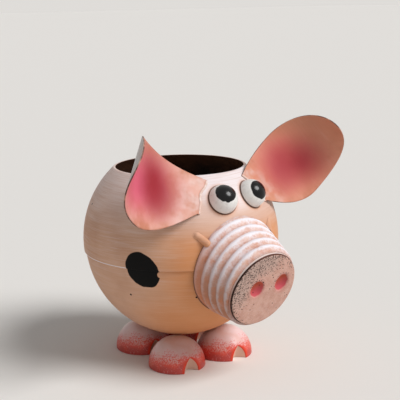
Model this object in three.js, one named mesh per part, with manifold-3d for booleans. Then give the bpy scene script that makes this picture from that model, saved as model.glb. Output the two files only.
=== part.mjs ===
import * as THREE from 'three';
import { mergeVertices } from 'three/addons/utils/BufferGeometryUtils.js';
import Module from 'manifold-3d';

// A planter in the shape of a pig, welded from pressed and rolled sheet metal.
// Lengths are in millimetres and angles in degrees. The pig faces -Y, its left side is +X,
// and it stands on the plane z = 0.

// Clearance between pieces that seat on each other
const SEAT_GAP = 0.3;

// Ball body: an upper shell with the planting opening, lapped over a lower bowl
const BALL_RADIUS = 100;
const BALL_WALL = 1.5;
const OPENING_RADIUS = 67;
const SEAM_DROP = 10.4;
const SEAM_LAP = 6;
const BOWL_EXTRA_DEPTH = 3;
const DRAIN_RADIUS = 6;

// Snout tube: a ribbed cone; reach and drop place the centre of its end from the ball's centre.
// The ribs start ahead of the end, lean back at the top, and are cut off square at the end.
const SNOUT_REACH = 130;
const SNOUT_DROP = 28.5;
const SNOUT_PITCH = 18.3;
const SNOUT_END_RADIUS = 38.2;
const SNOUT_TAPER = 11.8;
const SNOUT_WALL = 1.5;
const RIB_COUNT = 7;
const RIB_PITCH = 9.3;
const RIB_HEIGHT = 1.8;
const RIB_START = -6.7;
const RIB_LEAN = 5.1;

// Snout disc: a pressed cap with a turned-back edge and two nostrils
const DISC_DEPTH = 4;
const DISC_EDGE = 2.5;
const DISC_CROWN = 1;
const DISC_WALL = 1.5;
const NOSTRIL_WIDTH = 15;
const NOSTRIL_HEIGHT = 17;
const NOSTRIL_DEPTH = 4.5;
const NOSTRIL_SPACING = 30;
const NOSTRIL_RISE = 4;
const NOSTRIL_SHIFT = 5;

// Eyes, ears and feet are set by hand, each set turned a little from the snout, counted to the pig's left
const EYE_TURN = 5.1;
const EAR_TURN = 2.5;
const FEET_TURN = -3.5;

// Eyes: pressed domes on the ball, above the snout's root; a clock angle runs up from the pig's side
const EYE_RADIUS = 14.3;
const EYE_HEIGHT = 14.5;
const EYE_WALL = 1.2;
const EYE_SKIRT = 4;
const EYE_CLOCK = 73.3;
const EYE_SNOUT_GAP = 4.2;

// Ears: leaf-shaped sheets beside the eyes, rolled about a leaning axis, with a tab trimmed to the ball
const EAR_LENGTH = 123.5;
const EAR_WIDTH = 77.5;
const EAR_BASE_WIDTH = 36.5;
const EAR_WIDEST = 60;
const EAR_HANG = 20.3;
const EAR_WALL = 1.2;
const EAR_EYE_GAP = 1.8;
const EAR_EYE_RISE = 4.9;
const EAR_LEAN_IN = 37.6;
const EAR_LEAN_BACK = 23.5;
const EAR_HEADING = 16.5;
const EAR_ROLL = 105;
const EAR_ROLL_GROWTH = 1.4;
const EAR_TAB = 8;
const EAR_TAB_HEADING = -25;

// Smile beads: half-round rods on the ball, from the snout's root out to the cheek
const SMILE_ROD = 6.5;
const SMILE_LENGTH = 11;
const SMILE_CLOCK = 39;
const SMILE_SAG = 2;

// Feet: pressed domes on a short straight skirt, with a cleft pressed into the front
const FOOT_RADIUS = 28.8;
const FOOT_SKIRT = 1;
const FOOT_WALL = 2;
const FEET_SIDE_GAP = 0.8;
const FEET_LENGTH_GAP = 8.6;
const CLEFT_WIDTH = 20;
const CLEFT_DEPTH = 10;
const CLEFT_RISE = 24;

// Tail: a corkscrew rod at the rear
const TAIL_ROD = 6;
const TAIL_STEM = 5;
const TAIL_CURL_RADIUS = 10;
const TAIL_PITCH = 12;
const TAIL_TURNS = 1.75;
const TAIL_ELEVATION = 14;

// Facets
const BALL_SIDES = 52;
const BALL_OUTER_STEPS = 11;
const BALL_INNER_STEPS = 6;
const SNOUT_SIDES = 36;
const RIB_STEPS = 4;
const NOSTRIL_SIDES = 12;
const DOME_SIDES = 24;
const DOME_STEPS = 6;
const EAR_ROWS = 14;
const EAR_COLUMNS = 8;
const ROD_SIDES = 8;
const SMILE_STEPS = 10;
const TAIL_STEPS_PER_TURN = 20;

// Colours of the painted finish
const SKIN = 0xdcae8e;
const SNOUT_SKIN = 0xe2bda6;
const DISC_SKIN = 0xc9a296;
const EAR_SKIN = 0xd28a7a;
const EYE_WHITE = 0xe9e8e6;
const FOOT_SKIN = 0xdd9c88;
const PAINT_ROUGHNESS = 0.6;
const EYE_ROUGHNESS = 0.35;

const { degToRad, radToDeg } = THREE.MathUtils;
const UP = new THREE.Vector3(0, 0, 1);
const LEFT = 1;
const RIGHT = -1;

const wasm = await Module();
wasm.setup();

// Sizes that follow from the driving ones
const bowlRadius = BALL_RADIUS - BALL_WALL - SEAT_GAP;
const bowlDepth = bowlRadius + BOWL_EXTRA_DEPTH;
const openingHeight = Math.sqrt(BALL_RADIUS ** 2 - OPENING_RADIUS ** 2);
const footSide = FOOT_RADIUS + FEET_SIDE_GAP / 2;
const footForeAft = FOOT_RADIUS + FEET_LENGTH_GAP / 2;
const footReach = Math.hypot(footSide, footForeAft);

// Halves a stretch to find where a condition that holds at its start stops holding.
function boundary(start, end, holds) {
  let near = start;
  let far = end;
  while (far - near > 1e-6) {
    const middle = (near + far) / 2;
    if (holds(middle)) {
      near = middle;
    } else {
      far = middle;
    }
  }
  return near;
}

// Height of the ball's centre over the feet's domes, at which the oval bowl just seats on them.
const domeDrop = boundary(0, bowlDepth + 2 * FOOT_RADIUS, (drop) => {
  const bowlShare = Math.hypot(footReach / bowlRadius, drop / bowlDepth);
  return Math.hypot(footReach, drop) * (1 - 1 / bowlShare) < SEAT_GAP + FOOT_RADIUS;
});
const ballHeight = FOOT_SKIRT + domeDrop;

// Returns the geometry with shared vertices merged, sliver faces dropped and faces turned outward.
function closed(geometry) {
  const bare = geometry.clone();
  bare.deleteAttribute('normal');
  bare.deleteAttribute('uv');
  const merged = mergeVertices(bare, 1e-4);
  const position = merged.getAttribute('position');
  const corner = (index) => new THREE.Vector3().fromBufferAttribute(position, index);
  const faces = [];
  let volume = 0;
  for (let i = 0; i < merged.index.count; i += 3) {
    const [a, b, c] = [0, 1, 2].map((step) => merged.index.getX(i + step));
    if (a === b || b === c || c === a) {
      continue;
    }
    faces.push([a, b, c]);
    volume += corner(a).dot(corner(b).cross(corner(c)));
  }
  merged.setIndex((volume < 0 ? faces.map(([a, b, c]) => [a, c, b]) : faces).flat());
  return merged;
}

function solid(geometry) {
  const { attributes, index } = closed(geometry);
  return new wasm.Manifold(new wasm.Mesh({
    numProp: 3,
    vertProperties: new Float32Array(attributes.position.array),
    triVerts: new Uint32Array(index.array),
  }));
}

function geometryOf(manifold) {
  const { vertProperties, triVerts } = manifold.getMesh();
  const geometry = new THREE.BufferGeometry();
  geometry.setAttribute('position', new THREE.Float32BufferAttribute(vertProperties, 3));
  geometry.setIndex([...triVerts]);
  return geometry;
}

function piece(name, geometry, color, roughness = PAINT_ROUGHNESS) {
  const material = new THREE.MeshStandardMaterial({ color, roughness, metalness: 0 });
  const shape = closed(geometry);
  shape.computeVertexNormals();
  const mesh = new THREE.Mesh(shape, material);
  mesh.name = name;
  return mesh;
}

// Turns a profile of [radius, height] points about Z.
function revolve(profile, sides) {
  const points = profile.map(([radius, height]) => new THREE.Vector2(radius, height));
  return new THREE.LatheGeometry(points, sides).rotateX(Math.PI / 2);
}

// Points of a circle about the axis' origin, between two heights, from the first to the second.
function arc(radius, fromHeight, toHeight, steps) {
  const from = Math.asin(fromHeight / radius);
  const to = Math.asin(toHeight / radius);
  return Array.from({ length: steps + 1 }, (_, i) => {
    const angle = from + (to - from) * i / steps;
    return [radius * Math.cos(angle), radius * Math.sin(angle)];
  });
}

// A unit vector from the ball's centre; azimuth 0 is straight ahead and grows to the pig's left.
function ballDirection(azimuth, elevation) {
  const turn = degToRad(azimuth);
  const rise = degToRad(elevation);
  return new THREE.Vector3(
    Math.sin(turn) * Math.cos(rise),
    -Math.cos(turn) * Math.cos(rise),
    Math.sin(rise),
  );
}

// The solid ball, grown by the seat gap, that trims whatever is welded onto it.
function ballCutter(centre = new THREE.Vector3()) {
  const ball = new THREE.SphereGeometry(BALL_RADIUS + SEAT_GAP, BALL_SIDES, BALL_SIDES / 2);
  return solid(ball.rotateX(Math.PI / 2).translate(centre.x, centre.y, centre.z));
}

// A shell of revolution between two heights, closed along both edges.
function ballShell(radius, bottom, top) {
  const inner = radius - BALL_WALL;
  const outline = [
    ...arc(radius, bottom, top, BALL_OUTER_STEPS),
    ...arc(inner, top, bottom * inner / radius, BALL_INNER_STEPS),
  ];
  return revolve([...outline, outline[0]], BALL_SIDES);
}

function bodyUpper() {
  return piece('body_upper', ballShell(BALL_RADIUS, -SEAM_DROP, openingHeight), SKIN);
}

// The bowl is drawn a little deeper than the ball is round.
function bodyLower() {
  const drainHeight = -Math.sqrt(bowlRadius ** 2 - DRAIN_RADIUS ** 2);
  const bowl = ballShell(bowlRadius, drainHeight, SEAM_LAP - SEAM_DROP);
  return piece('body_lower', bowl.scale(1, 1, bowlDepth / bowlRadius), SKIN);
}

// Snout pieces are placed in a frame whose origin is the centre of the snout's end and whose +Z points out.
const snoutFrame = new THREE.Group();
snoutFrame.position.set(0, -SNOUT_REACH, -SNOUT_DROP);
snoutFrame.rotation.x = Math.PI / 2 + degToRad(SNOUT_PITCH);
snoutFrame.updateMatrix();

const snoutSlope = Math.tan(degToRad(SNOUT_TAPER));
const ribSlope = Math.tan(degToRad(RIB_LEAN));
const snoutRoot = DISC_DEPTH + SEAT_GAP;
const snoutLength = Math.hypot(SNOUT_REACH, SNOUT_DROP);

function snoutRadius(distance) {
  return SNOUT_END_RADIUS + distance * snoutSlope;
}

// The tube's outer profile, from ahead of its end to its root.
function ribbedProfile() {
  const profile = [];
  for (let step = 0; step <= RIB_COUNT * RIB_STEPS; step += 1) {
    const distance = RIB_START + RIB_PITCH * step / RIB_STEPS;
    const bulge = RIB_HEIGHT * Math.abs(Math.sin(Math.PI * step / RIB_STEPS));
    profile.push([snoutRadius(distance) + bulge, -distance]);
  }
  return [...profile, [snoutRadius(snoutLength), -snoutLength]];
}

// Leans the rings of a turned tube back at the top, with every point kept on the cone.
function leanRings(geometry) {
  const position = geometry.getAttribute('position');
  const point = new THREE.Vector3();
  for (let i = 0; i < position.count; i += 1) {
    point.fromBufferAttribute(position, i);
    const shift = ribSlope * point.y;
    const growth = snoutRadius(shift - point.z) / snoutRadius(-point.z);
    position.setXYZ(i, point.x * growth, point.y * growth, point.z - shift);
  }
  return geometry;
}

// The ball's surface point, as a unit vector, on the snout's root at a clock angle about its axis.
function snoutRootDirection(side, clock, radiusShare = 1) {
  const turn = degToRad(clock);
  const place = (distance) => {
    const radius = (snoutRadius(distance) + RIB_HEIGHT + SEAT_GAP) * radiusShare;
    const point = new THREE.Vector3(side * radius * Math.cos(turn), radius * Math.sin(turn), -distance);
    return point.applyMatrix4(snoutFrame.matrix);
  };
  const root = boundary(snoutRoot, snoutLength, (distance) => place(distance).length() > BALL_RADIUS);
  return place(root).normalize();
}

// Goes from the snout's root along the ball, away from the snout's axis, by a distance.
function besideSnout(side, clock, distance) {
  const root = snoutRootDirection(side, clock);
  const hub = snoutRootDirection(side, clock, 0);
  return root.clone().applyAxisAngle(hub.cross(root).normalize(), distance / BALL_RADIUS);
}

// A round block ahead of a plane across the snout's axis, for cutting off what lies there.
function blockAhead(radius, from, length) {
  const block = new THREE.CylinderGeometry(radius, radius, length, SNOUT_SIDES);
  return solid(block.rotateX(Math.PI / 2).translate(0, 0, from + length / 2));
}

function snoutTube() {
  const outer = ribbedProfile();
  const inner = [
    [snoutRadius(snoutLength) - SNOUT_WALL, -snoutLength],
    [snoutRadius(RIB_START) - SNOUT_WALL, -RIB_START],
  ];
  const tube = solid(leanRings(revolve([...outer, ...inner, outer[0]], SNOUT_SIDES)));
  const end = blockAhead(snoutRadius(snoutLength), -snoutRoot, snoutLength);
  const ballCentre = new THREE.Vector3().applyMatrix4(snoutFrame.matrix.clone().invert());
  const trimmed = tube.subtract(end).subtract(ballCutter(ballCentre));
  return piece('snout_tube', geometryOf(trimmed), SNOUT_SKIN);
}

// An oval bowl for a nostril, grown outward by the given amount.
function nostril(side, growth) {
  const bowl = new THREE.SphereGeometry(1, NOSTRIL_SIDES, NOSTRIL_SIDES / 2);
  bowl.rotateX(Math.PI / 2);
  bowl.scale(NOSTRIL_WIDTH / 2 + growth, NOSTRIL_HEIGHT / 2 + growth, NOSTRIL_DEPTH + growth);
  return solid(bowl.translate(NOSTRIL_SHIFT + side * NOSTRIL_SPACING / 2, NOSTRIL_RISE, DISC_CROWN));
}

// The cap's profile from the middle of one face round to its edge.
function discProfile(inset) {
  const radius = SNOUT_END_RADIUS - inset;
  const edge = DISC_EDGE - inset;
  const profile = [[0, DISC_CROWN - inset]];
  for (let step = 0; step <= RIB_STEPS; step += 1) {
    const angle = Math.PI / 2 * (1 - step / RIB_STEPS);
    profile.push([
      radius - edge + edge * Math.cos(angle),
      -DISC_EDGE + edge * Math.sin(angle),
    ]);
  }
  return [...profile, [radius, -DISC_DEPTH]];
}

function snoutDisc() {
  const profile = [...discProfile(0), ...discProfile(DISC_WALL).reverse()];
  let disc = solid(revolve(profile, SNOUT_SIDES));
  const front = blockAhead(SNOUT_END_RADIUS, 0, NOSTRIL_DEPTH * 2);
  for (const side of [LEFT, RIGHT]) {
    disc = disc.add(nostril(side, DISC_WALL).subtract(front)).subtract(nostril(side, 0));
  }
  return piece('snout_disc', geometryOf(disc), DISC_SKIN);
}

function eyeDirection(side) {
  return besideSnout(side, EYE_CLOCK, EYE_RADIUS + EYE_SNOUT_GAP);
}

// Places an eye's frame on the ball, with +Z pointing out.
function eyeFrame(side) {
  const frame = new THREE.Group();
  const outward = eyeDirection(side);
  frame.quaternion.setFromUnitVectors(UP, outward);
  frame.position.copy(outward).multiplyScalar(BALL_RADIUS);
  frame.updateMatrix();
  return frame;
}

// A quarter ellipse from the apex to the rim, then down a straight skirt.
function domeProfile(radius, height, skirt) {
  const profile = [];
  for (let step = 0; step <= DOME_STEPS; step += 1) {
    const angle = Math.PI / 2 * (1 - step / DOME_STEPS);
    profile.push([step === 0 ? 0 : radius * Math.cos(angle), height * Math.sin(angle)]);
  }
  return [...profile, [radius, -skirt]];
}

function eye(name, side) {
  const outer = domeProfile(EYE_RADIUS, EYE_HEIGHT, EYE_SKIRT);
  const inner = domeProfile(EYE_RADIUS - EYE_WALL, EYE_HEIGHT - EYE_WALL, EYE_SKIRT);
  const dome = solid(revolve([...outer, ...inner.reverse()], DOME_SIDES));
  const ball = ballCutter(new THREE.Vector3(0, 0, -BALL_RADIUS));
  const mesh = piece(name, geometryOf(dome.subtract(ball)), EYE_WHITE, EYE_ROUGHNESS);
  return eyeFrame(side).add(mesh);
}

// The eye's full dome grown by the seat gap, in the ears' frame, to trim an ear's base.
function eyeCutter(side) {
  const profile = domeProfile(EYE_RADIUS + SEAT_GAP, EYE_HEIGHT + SEAT_GAP, EYE_SKIRT);
  const dome = revolve([...profile, [0, -EYE_SKIRT]], DOME_SIDES);
  return solid(dome.applyMatrix4(eyeFrame(side).matrix).rotateZ(degToRad(EYE_TURN - EAR_TURN)));
}

// Heading of the rolled sheet, in degrees, at a distance from the ear's base.
function earHeading(distance) {
  if (distance < 0) {
    return EAR_TAB_HEADING;
  }
  return EAR_HEADING - EAR_ROLL * (distance / EAR_LENGTH) ** EAR_ROLL_GROWTH;
}

// Place along the rolled section, found by summing short steps of the heading.
function earSection(distance) {
  const place = new THREE.Vector2();
  const steps = 40;
  for (let step = 0; step < steps; step += 1) {
    const heading = degToRad(earHeading(distance * (step + 0.5) / steps));
    place.x += Math.cos(heading) * distance / steps;
    place.y += Math.sin(heading) * distance / steps;
  }
  return place;
}

// The ear's leaf outline: its middle line and half width at a distance from the base.
function earOutline(distance) {
  const swell = Math.sin(Math.PI / 2 * THREE.MathUtils.clamp(distance / EAR_WIDEST, 0, 1));
  const beyond = THREE.MathUtils.clamp((distance - EAR_WIDEST) / (EAR_LENGTH - EAR_WIDEST), 0, 1);
  const half = THREE.MathUtils.lerp(EAR_BASE_WIDTH, EAR_WIDTH, swell) / 2;
  return { middle: -EAR_HANG * swell, half: half * Math.sqrt(1 - beyond ** 2) };
}

// A sheet of constant thickness through rows of [point, normal] pairs, closed all round.
function thickSheet(rows, wall) {
  const columns = rows[0].length;
  const positions = [];
  for (const offset of [wall / 2, -wall / 2]) {
    for (const [point, normal] of rows.flat()) {
      positions.push(...point.clone().addScaledVector(normal, offset).toArray());
    }
  }
  const back = rows.length * columns;
  const at = (row, column) => row * columns + column;
  const faces = [];
  const quad = (a, b, c, d) => faces.push(a, b, c, a, c, d);
  for (let row = 0; row < rows.length - 1; row += 1) {
    for (let column = 0; column < columns - 1; column += 1) {
      const ring = [at(row, column), at(row, column + 1), at(row + 1, column + 1), at(row + 1, column)];
      quad(...ring);
      quad(...ring.map((index) => index + back).reverse());
    }
    quad(at(row, 0), at(row + 1, 0), at(row + 1, 0) + back, at(row, 0) + back);
    const last = columns - 1;
    quad(at(row + 1, last), at(row, last), at(row, last) + back, at(row + 1, last) + back);
  }
  for (let column = 0; column < columns - 1; column += 1) {
    const end = rows.length - 1;
    quad(at(0, column + 1), at(0, column), at(0, column) + back, at(0, column + 1) + back);
    quad(at(end, column), at(end, column + 1), at(end, column + 1) + back, at(end, column) + back);
  }
  const sheet = new THREE.BufferGeometry();
  sheet.setAttribute('position', new THREE.Float32BufferAttribute(positions, 3));
  sheet.setIndex(faces);
  return sheet;
}

// Middle of the left ear's base: beside the left eye, and a little above it.
function earBase() {
  const eyeCentre = eyeDirection(LEFT);
  const elevation = Math.asin(eyeCentre.z) + EAR_EYE_RISE / BALL_RADIUS;
  const aside = (EYE_RADIUS + EAR_EYE_GAP) / (BALL_RADIUS * Math.cos(elevation));
  const azimuth = Math.atan2(eyeCentre.x, -eyeCentre.y) + aside;
  return ballDirection(radToDeg(azimuth), radToDeg(elevation)).multiplyScalar(BALL_RADIUS);
}

function ear(name, side) {
  const axis = new THREE.Vector3(
    -Math.tan(degToRad(EAR_LEAN_IN)),
    Math.tan(degToRad(EAR_LEAN_BACK)),
    1,
  ).normalize();
  const across = new THREE.Vector3(1, 0, 0).projectOnPlane(axis).normalize();
  const behind = axis.clone().cross(across);
  const base = earBase();
  const mirror = (vector) => vector.setX(vector.x * side);
  const distances = [-EAR_TAB, -EAR_TAB / 2];
  for (let row = 0; row <= EAR_ROWS; row += 1) {
    distances.push(EAR_LENGTH * Math.sin(Math.PI / 2 * row / EAR_ROWS));
  }
  const rows = distances.map((distance) => {
    const { middle, half } = earOutline(distance);
    const section = earSection(distance);
    const heading = degToRad(earHeading(distance));
    const normal = behind.clone().multiplyScalar(Math.cos(heading));
    normal.addScaledVector(across, -Math.sin(heading));
    return Array.from({ length: EAR_COLUMNS + 1 }, (_, column) => {
      const point = base.clone().addScaledVector(across, section.x).addScaledVector(behind, section.y);
      point.addScaledVector(axis, middle + half * (2 * column / EAR_COLUMNS - 1));
      return [mirror(point), mirror(normal.clone())];
    });
  });
  const sheet = solid(thickSheet(rows, EAR_WALL)).subtract(ballCutter()).subtract(eyeCutter(side));
  return piece(name, geometryOf(sheet), EAR_SKIN);
}

function rodGeometry(diameter, path, steps) {
  const section = new THREE.Shape().absarc(0, 0, diameter / 2, 0, 2 * Math.PI);
  const options = { steps, extrudePath: path, curveSegments: ROD_SIDES / 2, bevelEnabled: false };
  return new THREE.ExtrudeGeometry(section, options);
}

function smile(name, side) {
  const onBall = (distance) => besideSnout(side, SMILE_CLOCK, distance).multiplyScalar(BALL_RADIUS);
  const outer = onBall(SMILE_LENGTH);
  const inner = onBall(-SMILE_ROD);
  const bend = outer.clone().lerp(inner, 0.5).addScaledVector(UP, -2 * SMILE_SAG).setLength(BALL_RADIUS);
  const path = new THREE.QuadraticBezierCurve3(outer, bend, inner);
  const tip = new THREE.SphereGeometry(SMILE_ROD / 2, ROD_SIDES, ROD_SIDES / 2).translate(...outer);
  const rod = solid(rodGeometry(SMILE_ROD, path, SMILE_STEPS)).add(solid(tip));
  const cone = [0, snoutLength].map((distance) => [snoutRadius(distance) + RIB_HEIGHT + SEAT_GAP, -distance]);
  const tube = revolve([[0, 0], ...cone, [0, -snoutLength]], SNOUT_SIDES).applyMatrix4(snoutFrame.matrix);
  const trimmed = rod.subtract(ballCutter()).subtract(solid(tube));
  return piece(name, geometryOf(trimmed), SKIN);
}

// The dome, its cleft and its hollow, each made smaller by the given inset.
function footVolume(inset, floor) {
  const profile = domeProfile(FOOT_RADIUS - inset, FOOT_RADIUS - inset, FOOT_SKIRT - floor);
  const dome = solid(revolve([...profile, [0, floor - FOOT_SKIRT]], DOME_SIDES).translate(0, 0, FOOT_SKIRT));
  const grown = (CLEFT_DEPTH + inset) / CLEFT_DEPTH;
  const wedge = new THREE.ConeGeometry(CLEFT_DEPTH, CLEFT_RISE, 4).rotateX(Math.PI / 2);
  wedge.scale(CLEFT_WIDTH / (2 * CLEFT_DEPTH), 1, 1).translate(0, 0, CLEFT_RISE / 2);
  wedge.scale(grown, grown, grown).translate(0, -FOOT_RADIUS, floor);
  return dome.subtract(solid(wedge));
}

function foot(name, side, end) {
  const hollow = footVolume(FOOT_WALL, -FOOT_WALL);
  const mesh = piece(name, geometryOf(footVolume(0, 0).subtract(hollow)), FOOT_SKIN);
  mesh.position.set(side * footSide, end * footForeAft, 0);
  return mesh;
}

// The tail's corkscrew winds out from its stem about an axis square to the ball.
class TailCurve extends THREE.Curve {
  getPoint(share, target = new THREE.Vector3()) {
    const length = TAIL_STEM + TAIL_TURNS * TAIL_PITCH;
    const along = share * length;
    const turns = Math.max(0, along - TAIL_STEM) / TAIL_PITCH;
    const radius = TAIL_CURL_RADIUS * THREE.MathUtils.smoothstep(turns, 0, 0.75);
    const angle = 2 * Math.PI * turns;
    return target.set(radius * Math.sin(angle), radius * (1 - Math.cos(angle)), along);
  }
}

// Least distance between stretches of a rod that lie more than one curl's width apart along it.
function leastSelfGap(path, diameter, samples) {
  const points = path.getSpacedPoints(samples);
  const apart = Math.ceil(2 * diameter / (path.getLength() / samples));
  let least = Infinity;
  points.forEach((point, i) => {
    points.slice(i + apart).forEach((other) => {
      least = Math.min(least, point.distanceTo(other) - diameter);
    });
  });
  return least;
}

function tail() {
  const path = new TailCurve();
  const samples = TAIL_STEPS_PER_TURN * TAIL_TURNS;
  console.log(`tail: least gap to itself ${leastSelfGap(path, TAIL_ROD, samples * 2).toFixed(2)} mm`);
  const rod = solid(rodGeometry(TAIL_ROD, path, samples));
  const ball = ballCutter(new THREE.Vector3(0, 0, -BALL_RADIUS));
  const mesh = piece('tail', geometryOf(rod.subtract(ball)), SKIN);
  const outward = ballDirection(180, TAIL_ELEVATION);
  mesh.quaternion.setFromUnitVectors(UP, outward);
  mesh.position.copy(outward).multiplyScalar(BALL_RADIUS);
  return mesh;
}

const eyes = new THREE.Group();
eyes.rotation.z = degToRad(EYE_TURN);
eyes.add(eye('eye_left', LEFT), eye('eye_right', RIGHT));

const ears = new THREE.Group();
ears.rotation.z = degToRad(EAR_TURN);
ears.add(ear('ear_left', LEFT), ear('ear_right', RIGHT));

snoutFrame.add(snoutTube(), snoutDisc());

const ball = new THREE.Group();
ball.position.z = ballHeight;
ball.add(bodyUpper(), bodyLower(), snoutFrame, eyes, ears, tail());
ball.add(smile('smile_left', LEFT), smile('smile_right', RIGHT));

const FRONT = -1;
const REAR = 1;
const feet = new THREE.Group();
feet.rotation.z = degToRad(FEET_TURN);
feet.add(foot('foot_front_left', LEFT, FRONT), foot('foot_front_right', RIGHT, FRONT));
feet.add(foot('foot_rear_left', LEFT, REAR), foot('foot_rear_right', RIGHT, REAR));

const pig = new THREE.Group();
pig.add(ball, feet);

// The origin lies under the middle of the bounding box, on the floor.
const bounds = new THREE.Box3().setFromObject(pig, true);
pig.position.set(-(bounds.min.x + bounds.max.x) / 2, -(bounds.min.y + bounds.max.y) / 2, -bounds.min.z);

const planter = new THREE.Group();
planter.add(pig);

export default planter;
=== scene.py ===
"""Dresses the pig planter: painted sheet-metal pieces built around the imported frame."""
import logging
import math
from abc import ABC, abstractmethod
from dataclasses import dataclass
from enum import Enum
from functools import cached_property, partial, reduce
from itertools import accumulate, pairwise
from typing import Callable, Sequence

import bmesh
import bpy
from mathutils import Matrix, Quaternion, Vector


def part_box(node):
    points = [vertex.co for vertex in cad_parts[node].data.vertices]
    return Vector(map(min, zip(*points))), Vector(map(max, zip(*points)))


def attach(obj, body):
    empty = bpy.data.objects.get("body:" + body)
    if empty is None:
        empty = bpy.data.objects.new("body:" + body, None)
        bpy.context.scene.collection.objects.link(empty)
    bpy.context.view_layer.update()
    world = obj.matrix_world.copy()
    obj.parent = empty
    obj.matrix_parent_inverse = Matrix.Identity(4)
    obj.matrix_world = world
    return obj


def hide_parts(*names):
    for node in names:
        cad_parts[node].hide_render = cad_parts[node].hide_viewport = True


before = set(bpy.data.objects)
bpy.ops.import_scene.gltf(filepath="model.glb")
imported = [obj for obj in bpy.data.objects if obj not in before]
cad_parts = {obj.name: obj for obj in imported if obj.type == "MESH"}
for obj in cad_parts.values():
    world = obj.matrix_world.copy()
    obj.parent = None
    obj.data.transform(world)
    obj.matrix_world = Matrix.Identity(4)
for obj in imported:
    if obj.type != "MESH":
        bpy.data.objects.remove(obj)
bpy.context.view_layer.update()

LOG = logging.getLogger("pig_planter")

MM = 0.001
SEAT_GAP = 0.3 * MM
MERGE_DISTANCE = 0.01 * MM
LENGTH_TOLERANCE = 0.001 * MM
ANGLE_TOLERANCE = 1e-4
ROD_TIP_SHARE = 0.04
UP = Vector((0.0, 0.0, 1.0))

Colour = tuple[float, float, float, float]
Pair = tuple[float, float]
Triple = tuple[float, float, float]
Socket = bpy.types.NodeSocket
Value = float | Socket


class Side(Enum):
    """A side of the pig, with the sign of X there."""

    LEFT = 1
    RIGHT = -1


class End(Enum):
    """An end of the pig, with the sign of Y there."""

    FRONT = -1
    REAR = 1


class Slot(Enum):
    """The record's material slots."""

    SKIN = "skin"
    SNOUT = "snout"
    SNOUT_FACE = "snout_face"
    EAR = "ear"
    EYE = "eye"
    FOOT = "foot"


def paint(red: int, green: int, blue: int) -> Colour:
    """Turns a paint colour into the linear values a shader takes.

    Args:
        red: Display red, 0 to 255.
        green: Display green, 0 to 255.
        blue: Display blue, 0 to 255.

    Returns:
        The linear colour with full alpha.
    """
    shares = [channel / 255 for channel in (red, green, blue)]
    linear = [s / 12.92 if s <= 0.04045 else ((s + 0.055) / 1.055) ** 2.4 for s in shares]
    return (*linear, 1.0)


def ball_direction(azimuth: float, elevation: float) -> Vector:
    """Finds a direction from the ball's centre.

    Args:
        azimuth: Degrees from straight ahead, growing to the pig's left.
        elevation: Degrees above level.

    Returns:
        The unit vector.
    """
    turn, rise = math.radians(azimuth), math.radians(elevation)
    level = Vector((math.sin(turn), -math.cos(turn), 0.0))
    return level * math.cos(rise) + UP * math.sin(rise)


def patch_frame(centre: Vector, azimuth: float, elevation: float, tilt: float = 0.0) -> Matrix:
    """Makes a frame about the ball's centre that faces a patch of its surface.

    Args:
        centre: The ball's centre.
        azimuth: Degrees from straight ahead to the patch, growing to the pig's left.
        elevation: Degrees above level.
        tilt: Degrees that the frame is turned about the line of sight.

    Returns:
        A matrix whose X runs to the right and Y up, as seen from outside, and whose Z points out.
    """
    outward = ball_direction(azimuth, elevation)
    right = UP.cross(outward).normalized()
    facing = Matrix((right, outward.cross(right), outward)).transposed().to_4x4()
    return Matrix.Translation(centre) @ facing @ Matrix.Rotation(math.radians(tilt), 4, "Z")


def outward_turn(outward: Vector) -> Matrix:
    """Gives the turn that points a piece's Z along a direction."""
    return UP.rotation_difference(outward).to_matrix().to_4x4()


def halved(near: float, far: float, tolerance: float, before: Callable[[float], bool]) -> float:
    """Halves a stretch down to the place where a test turns false.

    Args:
        near: The start of the stretch, where the test holds.
        far: The end of the stretch, where it doesn't.
        tolerance: The length at which the halving stops.
        before: The test of a place.

    Returns:
        The last place at which the test held.
    """
    while far - near > tolerance:
        middle = (near + far) / 2
        if before(middle):
            near = middle
        else:
            far = middle
    return near


@dataclass(frozen=True)
class Fade:
    """A smooth rise from 0 at its start to its share at its end, whichever of the two is larger."""

    start: float
    end: float
    share: float = 1.0


@dataclass(frozen=True)
class Mottle:
    """Soft noise, with scale as its waves per millimetre, that lets a paint show by a fade."""

    scale: float
    fade: Fade
    detail: float = 4.0


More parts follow.
